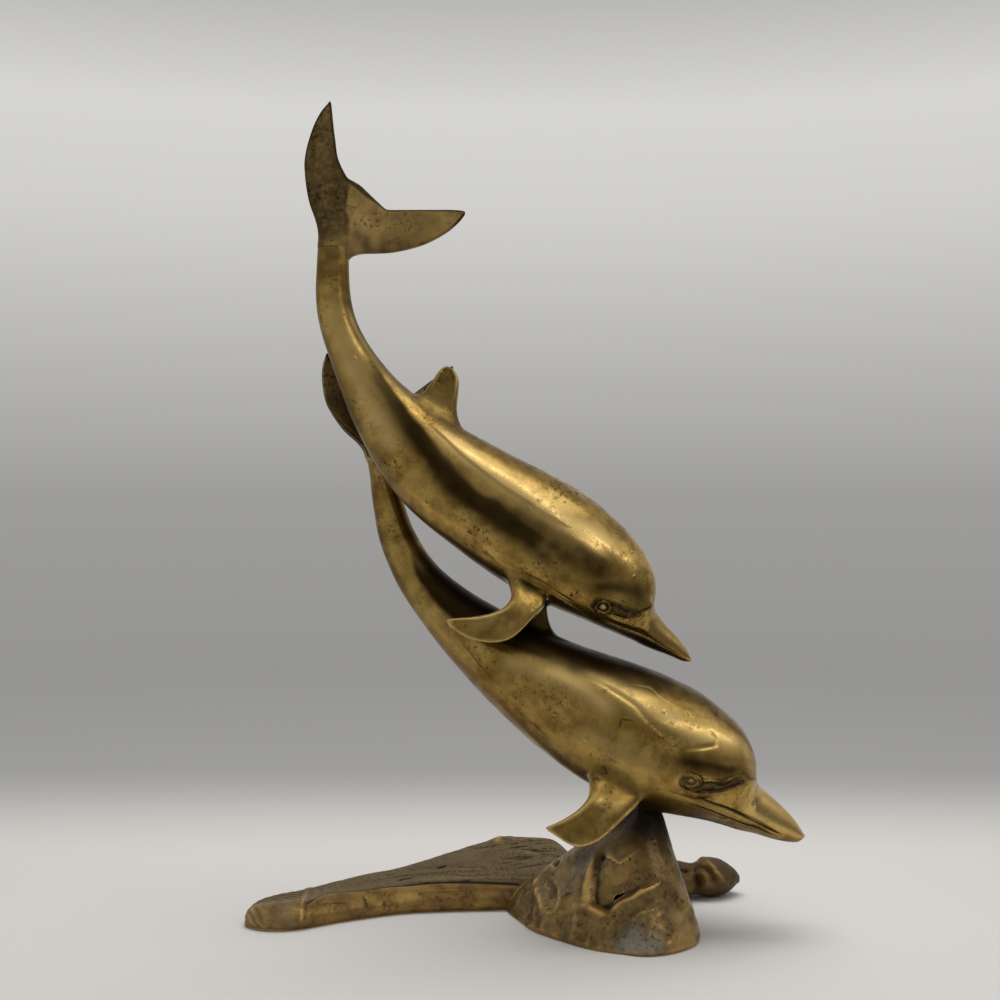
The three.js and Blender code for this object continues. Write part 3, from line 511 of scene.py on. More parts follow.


# How far the brow's roll fades out, in mm, and how dark the painted shade under a jaw is
BROW_FADE = 15
JAW_SHADE = 0.6


# A face's shape, its fine carving, where it is dull, its painted shade under brow and jaw, and its rubbed
# beak
def face_relief(body, face, places, heights, points, normals, sign):
    distance, side, along = line_distance(points, body.line(face["brow"], sign), normals)
    across = distance * side * -sign
    drop, rise, width = face["brow_roll"]
    roll = -drop + (drop + rise) * smooth_step(across, 0, width)
    roll = np.where(across > width, rise * np.exp(-((across - width) / BROW_FADE) ** 2), roll)
    roll = np.where(across < 0, -drop * (1 - smooth_step(-across, 4.0, 12.0)), roll)
    shape = roll * faded(along, 0.2, 0.8)
    middle, spread, strength = face["shade"]
    shade_of_brow = strength * np.exp(-((across - middle) / spread) ** 2)
    shade_of_brow *= smooth_step(along, 0.02, 0.2) * (1 - smooth_step(along, 0.62, 0.9))

    distance, _, along = line_distance(points, body.line(face["mask"], sign))
    depth, widths = face["mask_shape"]
    widths = width_at(along, widths)
    mask = 1 - smooth_step(distance, widths - 0.8, widths + 0.6)
    shape += -depth * mask + 0.6 * depth * np.exp(-((distance - widths - 0.8) / 0.8) ** 2)
    fine = mask * (0.22 * soft_noise(points, 2.6, 5) + 0.12 * soft_noise(points, 1.4, 6))

    distance = np.linalg.norm(points - body.line([face["eye"]], sign)[0], axis=1)
    radius, height = face["bead"]
    fine += height * np.sqrt(np.clip(1 - (distance / radius) ** 2, 0, 1))
    for radius, height, width in face["rings"]:
        fine += height * np.exp(-((distance - radius) / width) ** 2)
    for marks, height, width in face["lines"]:
        fine += carved(points, body.line(marks, sign), height, width)
    for mark, radius in face["pits"]:
        fine += carved(points, body.line([mark], sign), -0.55 * radius, radius)

    jaw_place, jaw_height = np.array(face["jaw"]).T
    under = jaw_height[0] - 1.0 + np.interp(places, jaw_place, jaw_height - jaw_height[0] + 1.0)
    jaw = smooth_step(under - heights, 0.0, 0.07)
    jaw *= smooth_step(places, jaw_place[0] - 0.6, jaw_place[0] + 0.6)
    rubbed_and_highlight = face["beak"] * smooth_step(places, 11.4, 12.8) * smooth_step(heights, -0.4, -0.1)
    return shape, fine, mask, np.maximum(JAW_SHADE * jaw, shade_of_brow), rubbed_and_highlight


# Marks on the bodies away from the faces: line, height, width
UPPER_MARKS = [
    ([(8.12, -0.79), (8.61, -0.77), (9.16, -0.79), (9.54, -0.82), (10.0, -0.88)], -0.5, 0.6),
    ([(8.3, -0.71), (8.7, -0.69), (9.16, -0.71), (9.5, -0.74)], 0.3, 0.9),
    ([(7.54, -0.73), (7.7, -0.73), (7.88, -0.73)], -0.35, 0.9),
    ([(8.55, 0.37), (8.96, 0.42), (9.34, 0.4), (9.68, 0.29), (9.97, 0.13)], 0.35, 3.5),
    ([(8.82, 0.8), (9.3, 0.78), (9.77, 0.67), (10.22, 0.52)], 0.3, 3.0),
    ([(3.2, 0.1)], -0.5, 1.2),
    ([(3.54, 0.62)], -0.4, 1.0),
    ([(4.2, -0.31)], -0.3, 1.4),
    ([(6.44, -0.64)], -0.4, 1.0),
]
LOWER_MARKS = [
    ([(6.13, 0.03), (6.49, 0.21), (6.91, 0.43), (7.42, 0.41), (7.99, 0.23)], 0.4, 5.0),
    ([(6.92, -0.65), (7.18, -0.66), (7.43, -0.66)], -0.35, 0.8),
    ([(5.2, -0.35), (5.6, -0.42), (6.0, -0.5), (6.4, -0.55)], -0.3, 0.9),
]
# Creases that the file left: line, depth, lip, width over which the skin comes back
UPPER_CREASES = [
    ([(5.3, 0.64), (5.9, 0.58), (6.4, 0.48), (6.9, 0.41), (7.35, 0.36), (7.7, 0.34), (8.1, 0.31),
      (8.5, 0.33), (8.9, 0.36)], 0.5, 2.2, 11.0),
]
# Painted shade in bands, crisp above and soft below: line, half widths, strength
UPPER_SHADE_BANDS = [
    ([(2.6, 0.62), (3.2, 0.58), (3.79, 0.5), (4.85, 0.36), (6.0, 0.14), (6.65, -0.08), (7.2, -0.1),
      (7.94, -0.12), (8.68, -0.16), (9.4, -0.24)], (3.0, 5.0, 7.0, 8.5, 9.5, 8.0, 6.0), 0.95),
    ([(7.2, 0.0), (8.0, 0.02), (8.8, 0.02), (9.6, 0.05), (10.3, 0.16)], (6.0, 9.0, 10.0, 8.0), 0.72),
]
LOWER_SHADE_BANDS = [
    ([(9.3, 0.86), (10.0, 0.88), (11.0, 0.9), (12.0, 0.93)], (2.6, 2.6), 0.6),
]
# Painted highlights: line, half widths, strength
UPPER_HIGHLIGHTS = [
    ([(5.4, 0.7), (6.2, 0.6), (7.0, 0.5), (7.8, 0.44), (8.6, 0.44), (9.4, 0.52), (10.2, 0.6)],
     (4.0, 7.0, 8.0, 8.0, 8.0, 7.0, 5.0), 0.95),
    ([(0.9, 0.0), (2.0, -0.05), (3.0, -0.1), (4.6, -0.25), (5.6, -0.4)], (3.0, 6.0, 8.0, 8.0, 6.0), 0.8),
    ([(1.4, 0.78), (2.4, 0.84), (3.4, 0.86), (4.4, 0.8), (5.2, 0.76)], (1.6, 2.2, 3.0, 3.2, 3.0), 0.5),
]
LOWER_HIGHLIGHTS = [
    ([(5.9, -0.02), (6.49, 0.16), (6.91, 0.34), (7.42, 0.33), (8.1, 0.16)], (4.0, 6.0, 7.0, 6.0), 0.85),
    ([(7.0, 0.56), (7.6, 0.56), (8.2, 0.5), (8.8, 0.48), (9.4, 0.5), (10.2, 0.66), (11.0, 0.7),
      (12.0, 0.66)], (3.0, 4.5, 7.0, 7.5, 6.0, 6.0, 6.0, 4.0), 0.75),
    ([(7.6, -0.35), (8.4, -0.25), (9.1, -0.3)], (6.0, 8.0, 5.0), 0.5),
    ([(2.2, -0.55), (3.4, -0.55), (4.8, -0.55), (6.0, -0.6)], (2.0, 3.0, 5.0, 5.0), 0.3),
]
# Painted shade over the backs: place, height above which it lies, strength
UPPER_BACK_SHADE = [(0.0, 0.45, 0.4), (1.0, 0.5, 0.75), (3.0, 0.6, 0.8), (4.2, 0.8, 0.5), (5.0, 0.9, 0.0),
              (17.0, 0.9, 0.0)]
LOWER_BACK_SHADE = [(0.0, 0.5, 0.2), (2.6, 0.3, 0.6), (3.4, 0.0, 0.95), (4.6, -0.12, 1.0), (5.4, -0.06, 1.0),
              (6.0, 0.26, 1.0), (6.6, 0.42, 0.98), (7.5, 0.52, 0.95), (8.15, 0.68, 0.9), (8.6, 0.74, 0.7),
              (9.3, 0.8, 0.5), (10.5, 0.88, 0.35), (18.0, 0.95, 0.3)]


# Slow hand-filed waves of the polished skin
def file_waves(points, seed):
    return (0.28 * soft_noise(points, 34, seed) + 0.12 * soft_noise(points, 15, seed + 1)
            + 0.035 * soft_noise(points, 6, seed + 2))


# A body's side: row spacing in mm, finer from a place on the head, columns from back to belly, where the
# face begins, how dark the painted shade on the belly and the stain at the tail's end are, and where
# the bands of painted shade and the painted highlights fade out
ROW_SPACING = 0.95
HEAD_SPACING = 0.5
HEAD_FROM = 8.6
FACE_FROM = 7.0
SIDE_COLUMNS = 150
BELLY_SHADE = 0.5
TAIL_STAIN = 0.6
SHADE_BAND_ENDS = (0.15, 0.8)
HIGHLIGHT_ENDS = (0.15, 0.85)


# A fine grid of one side of a body, with its relief, its patina, its painted shade and its painted
# highlights
def body_side(body, face, marks, creases, shade_bands, highlight_lines, back, sign, seed):
    columns = SIDE_COLUMNS
    probe = np.linspace(0, body.last, 4000)
    middle = body.skin(probe, math.pi / 2, sign)
    arc = run_across(middle[None])[0]
    wanted = np.where(probe > HEAD_FROM, HEAD_SPACING, ROW_SPACING)
    count = np.concatenate([[0], np.cumsum(np.diff(arc) / wanted[1:])])
    rows = int(count[-1])
    place = np.interp(np.linspace(0, count[-1], rows), count, probe)
    angle = np.linspace(0, math.pi, columns)
    points = body.skin(place[:, None], angle[None, :], sign)
    normals = body.normal(place[:, None], np.broadcast_to(angle[None, :], (rows, columns)), sign)
    flat = points.reshape(-1, 3)
    flat_normals = normals.reshape(-1, 3)
    waves = file_waves(flat, seed)
    shape, fine, dull_and_shadow, dark, rubbed_and_highlight = (np.zeros(len(flat)) for _ in range(5))
    on_face = np.repeat(place > FACE_FROM, columns)
    flat_places = np.repeat(place, columns)
    heights = np.tile(np.cos(angle), rows)
    relief = face_relief(body, face, flat_places[on_face], heights[on_face], flat[on_face],
                         flat_normals[on_face], sign)
    for whole, part in zip((shape, fine, dull_and_shadow, dark, rubbed_and_highlight), relief):
        whole[on_face] = part
    for line, height, width in marks:
        fine += carved(flat, body.line(line, sign), height, width)
    for line, depth, lip, width in creases:
        shape += ledge(flat, flat_normals, body.line(line, sign), depth, lip, width, -sign)
    wander = soft_noise(flat, 9, seed + 4)
    # Painted shade in bands along the body
    for line, widths, strength in shade_bands:
        distance, side_of, along = line_distance(flat, body.line(line, sign), flat_normals)
        half = width_at(along, widths)
        ends = faded(along, *SHADE_BAND_ENDS)
        across = distance * side_of * -sign + 1.3 * wander
        above = 1 - smooth_step(across, 0.6 * half, 1.15 * half)
        below = 1 - smooth_step(-across, 0.25 * half, 1.5 * half)
        dark = np.maximum(dark, strength * ends * above * below)
    # Painted highlights along the body, which go in with the wear on ridges and the rubbed beak
    for line, widths, strength in highlight_lines:
        distance, _, along = line_distance(flat, body.line(line, sign))
        half = width_at(along, widths)
        ends = faded(along, *HIGHLIGHT_ENDS)
        glow = strength * ends * np.exp(-(distance / half) ** 2) * (0.8 + 0.2 * wander)
        rubbed_and_highlight = np.maximum(rubbed_and_highlight, glow)
    # Painted shade over the back, deepest on the lower dolphin's back under the upper one
    back_place, back_height, back_strength = np.array(back).T
    over = heights - np.interp(flat_places, back_place, back_height)
    back_shade = np.interp(flat_places, back_place, back_strength) * smooth_step(over, -0.12, 0.14)
    dark = np.maximum(dark, back_shade)
    dark *= 1 + 0.35 * soft_noise(flat, 7, seed + 3) * np.clip(2 - 2 * dark, 0, 1)
    # Painted shade on the belly
    dark = np.maximum(dark, BELLY_SHADE * smooth_step(-heights, face["belly"], 0.95))
    stain = 0.75 + 0.4 * soft_noise(flat, 5, seed + 5)
    dark = np.maximum(dark, TAIL_STAIN * stain * (1 - smooth_step(flat_places, 0.15, 0.95)))
    dark = np.maximum(dark, smooth_step(-fine, 0.08, 0.42))
    small = np.interp(place, [0.0, 0.35, body.last - 1.5, body.last - 0.3], [0.0, 1.0, 1.0, 0.15])
    lift = (waves + (shape + fine)) * np.repeat(small, columns)
    moved = flat + flat_normals * lift[:, None]
    moved = moved.reshape(rows, columns, 3)
    side_line = np.interp(place, body.places, body.table[:, 4])
    moved[:, 0, 1] = side_line
    moved[:, -1, 1] = side_line
    keep = (moved[..., 1] - side_line[:, None]) * sign < 0
    moved[..., 1] = np.where(keep, side_line[:, None], moved[..., 1])
    run = np.interp(place, probe, arc)
    grid = (rows, columns)
    worn = np.maximum(smooth_step(fine, 0.2, 0.6), rubbed_and_highlight)
    return {"points": moved, "place": place, "run": run, "worn": worn.reshape(grid),
            "dull_and_shadow": dull_and_shadow.reshape(grid), "dark": dark.reshape(grid)}


CAP_RINGS = 4


# Rounded cap rings past the last section of a beak or a fin
def cap_rings(last_ring, previous_ring, radius=1.0):
    centre = last_ring.mean(axis=0)
    ahead = unit(centre - previous_ring.mean(axis=0))
    made = []
    for k in range(1, CAP_RINGS + 1):
        turn = 0.5 * math.pi * k / (CAP_RINGS + 0.5)
        made.append(centre + (last_ring - centre) * math.cos(turn) + ahead * radius * math.sin(turn))
    return made


def grid_faces(rows, columns, closed=False, flip=False):
    r, c = np.meshgrid(np.arange(rows - 1), np.arange(columns if closed else columns - 1), indexing="ij")
    a = r * columns + c
    b = r * columns + (c + 1) % columns
    quads = np.stack([a, b, b + columns, a + columns], axis=-1).reshape(-1, 4)
    return quads[:, ::-1] if flip else quads


# A Blender mesh from points in drawing millimetres
def mesh_from(name, points, quads, others=()):
    mesh = bpy.data.meshes.new(name)
    spots = np.asarray(points, float).reshape(-1, 3) * MM + SHIFT
    faces = [tuple(int(k) for k in face) for face in itertools.chain(quads, others)]
    mesh.from_pydata(spots.tolist(), [], faces)
    mesh.validate()
    mesh.update()
    return mesh


def mesh_points(mesh):
    flat = np.empty(len(mesh.vertices) * 3)
    mesh.vertices.foreach_get("co", flat)
    return (flat.reshape(-1, 3) - SHIFT) / MM


def set_points(mesh, points):
    mesh.vertices.foreach_set("co", (points * MM + SHIFT).ravel())
    mesh.update()


def mesh_normals(mesh):
    flat = np.empty(len(mesh.vertices) * 3)
    mesh.vertex_normals.foreach_get("vector", flat)
    return flat.reshape(-1, 3)


# The mesh that an object's modifiers give; the object goes
def finished(obj):
    graph = bpy.context.evaluated_depsgraph_get()
    made = bpy.data.meshes.new_from_object(obj.evaluated_get(graph), preserve_all_data_layers=True,
                                           depsgraph=graph)
    bpy.data.objects.remove(obj)
    return made


# A new object in the scene, at the origin
def placed(name, data):
    obj = bpy.data.objects.new(name, data)
    bpy.context.scene.collection.objects.link(obj)
    return obj


def tree_of(mesh):
    return BVHTree.FromPolygons(mesh_points(mesh).tolist(), [tuple(p.vertices) for p in mesh.polygons])


def write_attribute(mesh, name, values):
    layer = mesh.attributes.get(name) or mesh.attributes.new(name, "FLOAT", "POINT")
    layer.data.foreach_set("value", np.asarray(values, np.float32))


# Turns every face outwards, for a closed mesh
def face_outwards(mesh):
    work = bmesh.new()
    work.from_mesh(mesh)
    bmesh.ops.recalc_face_normals(work, faces=work.faces)
    if work.calc_volume(signed=True) < 0:
        bmesh.ops.reverse_faces(work, faces=work.faces)
    work.to_mesh(mesh)
    work.free()


def closed_mesh(name, points, quads, others=()):
    mesh = mesh_from(name, points, quads, others)
    face_outwards(mesh)
    return mesh


# Joins or cuts two closed meshes
def combine(mesh, other, operation):
    first = placed("first", mesh)
    second = placed("second", other)
    step = first.modifiers.new("step", "BOOLEAN")
    step.operation = operation
    step.object = second
    step.solver = "MANIFOLD"
    made = finished(first)
    bpy.data.objects.remove(second)
    if not len(made.polygons):
        raise RuntimeError(f"{operation} left nothing of {mesh.name}")
    made.name = mesh.name
    return made


def cut(mesh, *others):
    for other in others:
        mesh = combine(mesh, other, "DIFFERENCE")
    return mesh


# A closed loft of rings, with both ends closed
def loft(name, rings):
    rings = np.asarray(rings, float)
    count, columns = rings.shape[:2]
    points = rings.reshape(-1, 3)
    quads = grid_faces(count, columns, closed=True)
    ends = [tuple(range(columns))[::-1], tuple(range((count - 1) * columns, count * columns))]
    return closed_mesh(name, points, quads, ends)


# Shells in mm: how far the trimming solid lies inside the skin, how far each half stands off the seam,
# and the half width below which the beak is solid. Then the columns of the inner wall.
HULL_INSET = 0.06
SEAM = 0.015
SOLID_BELOW = 7.0
INNER_COLUMNS = 16


# Both outer sides of a body as one closed solid, a little inside the skin, to trim what is brazed to it
def body_hull(name, near, far):
    rows = min(len(near["place"]), len(far["place"]))
    rings = []
    for r in range(0, rows, 2):
        ring = np.vstack([near["points"][r], far["points"][r][-2:0:-1]])
        centre = ring.mean(axis=0)
        rings.append(ring + unit(centre - ring) * HULL_INSET)
    rings.append(np.vstack([near["points"][-1], far["points"][-1][-2:0:-1]]))
    return loft(name, rings)


# Half of a hollow body: outer skin, inner wall, seam faces and the open tail end
def half_shell(name, body, side, sign):
    points = side["points"].copy()
    points[..., 1] += sign * SEAM
    caps = cap_rings(points[-1], points[-4])
    for ring in caps:
        ring[0, 1] = ring[-1, 1] = points[-1, 0, 1]
    outer = np.concatenate([points, np.array(caps)])
    rows, columns = outer.shape[:2]
    half = body.read(side["place"])[5]
    hollow_rows = int(np.nonzero((half > SOLID_BELOW) | (side["place"] < body.last / 2))[0][-1]) + 1
    inner_angle = np.linspace(0, math.pi, INNER_COLUMNS)
    inner = body.skin(side["place"][:hollow_rows, None], inner_angle[None, :], sign, BODY_WALL)
    inner[..., 1] += sign * SEAM
    inner[:, 0, 1] = inner[:, -1, 1] = points[:hollow_rows, 0, 1]
    base = rows * columns
    everything = np.vstack([outer.reshape(-1, 3), inner.reshape(-1, 3)])
    faces = [tuple(q) for q in grid_faces(rows, columns)]
    faces += [tuple(q) for q in grid_faces(hollow_rows, INNER_COLUMNS, flip=True) + base]
    top = np.arange(rows) * columns
    low = top + columns - 1
    inner_top = base + np.arange(hollow_rows) * INNER_COLUMNS
    inner_low = inner_top + INNER_COLUMNS - 1
    for r in range(hollow_rows - 1):
        faces.append((top[r + 1], top[r], inner_top[r], inner_top[r + 1]))
        faces.append((low[r], low[r + 1], inner_low[r + 1], inner_low[r]))
    k = hollow_rows - 1
    faces.append((top[k + 1], top[k], inner_top[k], inner_low[k], low[k], low[k + 1]))
    for r in range(k + 1, rows - 1):
        faces.append((top[r + 1], top[r], low[r], low[r + 1]))
    faces.append(tuple(range(inner_top[k], inner_low[k] + 1))[::-1])
    faces.append(tuple(range(top[-1], low[-1] + 1)))
    faces.append(tuple(range(top[0], low[0] + 1))[::-1] + tuple(range(inner_top[0], inner_low[0] + 1)))
    mesh = closed_mesh(name, everything, faces)
    inside = np.zeros(inner.shape[0] * inner.shape[1])

    def spread(values):
        return np.concatenate([values, np.repeat(values[-1:], len(caps), axis=0)]).ravel()

    # Painted shade goes in with the patina, and painted highlights with the wear
    for kind, look, inner_look in (("hollow", "dark", 1), ("worn", "worn", 0), ("dull_and_shadow", "dull_and_shadow", 1)):
        write_attribute(mesh, kind, np.concatenate([spread(side[look]), inside + inner_look]))
    along = np.concatenate([side["run"], side["run"][-1] + np.arange(1, len(caps) + 1) * 0.3])
    outer_run = np.stack([np.broadcast_to(along[:, None], (rows, columns)), run_across(outer)], axis=-1)
    outer_run = outer_run.reshape(-1, 2)
    inner_run = np.repeat(side["run"][:hollow_rows], INNER_COLUMNS)[:, None] * np.array([[1.0, 0.0]])
    write_run(mesh, np.vstack([outer_run, inner_run]) * MM)
    return mesh


# A map in metres of how far along and around a piece each place lies
def write_run(mesh, values):
    layer = mesh.uv_layers.new(name="run")
    corner = np.empty(len(mesh.loops), int)
    mesh.loops.foreach_get("vertex_index", corner)
    layer.data.foreach_set("uv", values[corner].astype(np.float32).ravel())


# Smoothing passes after which a place is compared with its smoothed skin: small marks, then large forms
WEATHER_PASSES = (4, 26)


# Darkness in hollows and brightness on worn edges, from how far a place lies from its smoothed skin, with
# the painted shade and painted highlights that the piece is given
def weather(mesh, dark=0.35, bright=0.35, shade_and_grime=0.0, rubbed_and_highlight=0.0, near=0.0):
    points = mesh_points(mesh)
    mean = neighbour_mean(mesh)
    normals = mesh_normals(mesh)
    smooth = points.copy()
    hollow = np.zeros(len(points))
    worn = np.zeros(len(points))
    for step in range(1, WEATHER_PASSES[-1] + 1):
        smooth = 0.4 * smooth + 0.6 * mean(smooth)
        if step in WEATHER_PASSES:
            rise = np.sum((points - smooth) * normals, axis=1)
            scale = 1.0 if step == WEATHER_PASSES[-1] else 2.5
            hollow = np.maximum(hollow, smooth_step(-rise * scale, 0.1 * dark, dark))
            worn = np.maximum(worn, smooth_step(rise * scale, 0.4 * bright, 1.6 * bright))
    write_attribute(mesh, "hollow", np.maximum(hollow * (1 - near), shade_and_grime))
    write_attribute(mesh, "worn", np.maximum(worn * (1 - shade_and_grime) * (1 - near), rubbed_and_highlight))


# The patina and painted shade, and the wear and painted highlights, of a body, looked up near any place
# and fading away from it
class PatinaAndPaintedLight:
    def __init__(self, *sides):
        points = np.vstack([side["points"][::2, ::2].reshape(-1, 3) for side in sides])
        self.dark = np.concatenate([side["dark"][::2, ::2].ravel() for side in sides])
        self.worn = np.concatenate([side["worn"][::2, ::2].ravel() for side in sides])
        self.places = KDTree(len(points))
        for k, point in enumerate(points):
            self.places.insert(point, k)
        self.places.balance()

    def over(self, points, reach):
        found = [self.places.find(point) for point in points]
        nearest = np.array([index for _, index, _ in found])
        near = 1 - smooth_step(np.array([distance for _, _, distance in found]), 0.15 * reach, reach)
        return self.dark[nearest] * near, self.worn[nearest] * near, near


# Grid of a fin: rings between two stations, places round a ring; then how blunt its edges are
FIN_STEPS = 26
FIN_COLUMNS = 84
FIN_BLUNT = 5.0


# Fin sections from root to tip, blunt at the edges and with dished faces
def fin_rings(stations, dish, rim=0.78, tip=1.0, fade=0.15):
    last = len(stations) - 1
    flat = [(*lead, *trail, thick) for lead, trail, thick in stations]
    places = np.linspace(0, last, last * FIN_STEPS + 1)
    rows = run_through(flat, places)
    rows = smoothed(rows, np.hanning(FIN_STEPS + 3)[1:-1])
    lead, trail, thick = rows[:, 0:3], rows[:, 3:6], np.maximum(rows[:, 6], 1.2)
    lead[:, 2] += PEAK
    trail[:, 2] += PEAK
    centre, chord = (lead + trail) / 2, (lead - trail) / 2
    normal = unit(np.cross(chord, np.gradient(centre, axis=0)))
    turn = turns(FIN_COLUMNS)
    u = np.sign(np.cos(turn)) * np.abs(np.cos(turn)) ** 0.8
    profile = (1 - np.abs(u) ** FIN_BLUNT) ** 0.5
    taper = np.clip(1 - smooth_step(places / last, 0.88, 1.0), 0, 1)
    dished = dish * (1 - smooth_step(np.abs(u), rim - 0.22, rim + 0.1))
    taper = taper * smooth_step(places / last, fade, fade + 0.25)
    height = thick[:, None] / 2 * profile - np.minimum(dished * taper[:, None], 0.3 * thick[:, None])
    height *= np.where(np.sin(turn) >= 0, 1, -1)
    rings = centre[:, None] + chord[:, None] * u[None, :, None] + normal[:, None] * height[..., None]
    caps = cap_rings(rings[-1], rings[-3], tip)
    return np.concatenate([rings, np.array(caps)])


# Averages each place of a mesh with its neighbours
def neighbour_mean(mesh):
    count = len(mesh.vertices)
    pairs = np.empty(len(mesh.edges) * 2, int)
    mesh.edges.foreach_get("vertices", pairs)
    a, b = pairs.reshape(-1, 2).T
    degree = np.maximum(np.bincount(a, minlength=count) + np.bincount(b, minlength=count), 1)

    def mean(values):
        sums = [np.bincount(a, values[b, k], count) + np.bincount(b, values[a, k], count)
                for k in range(3)]
        return np.stack(sums, 1) / degree[:, None]

    return mean


# A solid block between two corners
def block(low, high):
    corners = [(x, y, z) for z in (low[2], high[2]) for y in (low[1], high[1]) for x in (low[0], high[0])]
    faces = [(0, 1, 3, 2), (4, 6, 7, 5), (0, 4, 5, 1), (2, 3, 7, 6), (0, 2, 6, 4), (1, 5, 7, 3)]
    return closed_mesh("block", corners, faces)


# Grain in mm of the mesh that a fillet is smoothed on, and how often it is pushed back out of the metal
FILLET_GRAIN = 0.7
FILLET_ROUNDS = 5


# Fills the corner between a fin and the bodies it is brazed to with a filed fillet
def filleted(fin, hulls, radius):
    fin_points = mesh_points(fin)
    around_fin = block(fin_points.min(axis=0) - 1.7 * radius, fin_points.max(axis=0) + 1.7 * radius)
    fin_skin = tree_of(fin)
    whole = fin
    for hull in hulls:
        whole = combine(whole, combine(hull, around_fin, "INTERSECT"), "UNION")
    solid = tree_of(whole)
    mesh = evened(whole, FILLET_GRAIN)
    points = mesh_points(mesh)
    to_fin = np.array([fin_skin.find_nearest(Vector(p))[3] for p in points])
    skins = [tree_of(hull) for hull in hulls]
    to_body = np.array([min(skin.find_nearest(Vector(p))[3] for skin in skins) for p in points])
    share = 1 - smooth_step(to_fin, 0.5 * radius, 1.2 * radius)
    share = share * (1 - smooth_step(to_body, 0.5 * radius, 1.2 * radius))
    moving = np.nonzero(share > 0.01)[0]
    mean = neighbour_mean(mesh)
    passes = int((0.5 * radius / FILLET_GRAIN) ** 2 / 0.3 / FILLET_ROUNDS)
    for _ in range(FILLET_ROUNDS):
        for _ in range(passes):
            points += 0.6 * share[:, None] * (mean(points) - points)
        for k in moving:
            spot, out, _, _ = solid.find_nearest(Vector(points[k]))
            if (Vector(points[k]) - spot).dot(out) < 0:
                points[k] = spot
    for _ in range(4):
        points += 0.5 * share[:, None] * (mean(points) - points)
    set_points(mesh, points)
    displaced(mesh, -0.6 * smooth_step(to_fin, 0.8 * radius, 1.25 * radius))
    return mesh


# The same fin on the other side of a body, swung about its root
def far_fin(stations, side, swing):
    root_lead, root_trail, _ = stations[0]
    pivot_x, pivot_z = (root_lead[0] + root_trail[0]) / 2, (root_lead[2] + root_trail[2]) / 2

    def across(point):
        x, y, z = point
        turned_x = pivot_x + (x - pivot_x) * math.cos(swing) - (z - pivot_z) * math.sin(swing)
        turned_z = pivot_z + (x - pivot_x) * math.sin(swing) + (z - pivot_z) * math.cos(swing)
        return (turned_x, 2 * side - y, turned_z)

    return [(across(lead), across(trail), thick) for lead, trail, thick in stations]


# Evens out a mesh into small equal faces
def evened(mesh, size):
    work = placed("work", mesh)
    even = work.modifiers.new("even", "REMESH")
    even.mode = "VOXEL"
    even.voxel_size = size * MM
    return finished(work)


def displaced(mesh, lift):
    set_points(mesh, mesh_points(mesh) + mesh_normals(mesh) * lift[:, None])


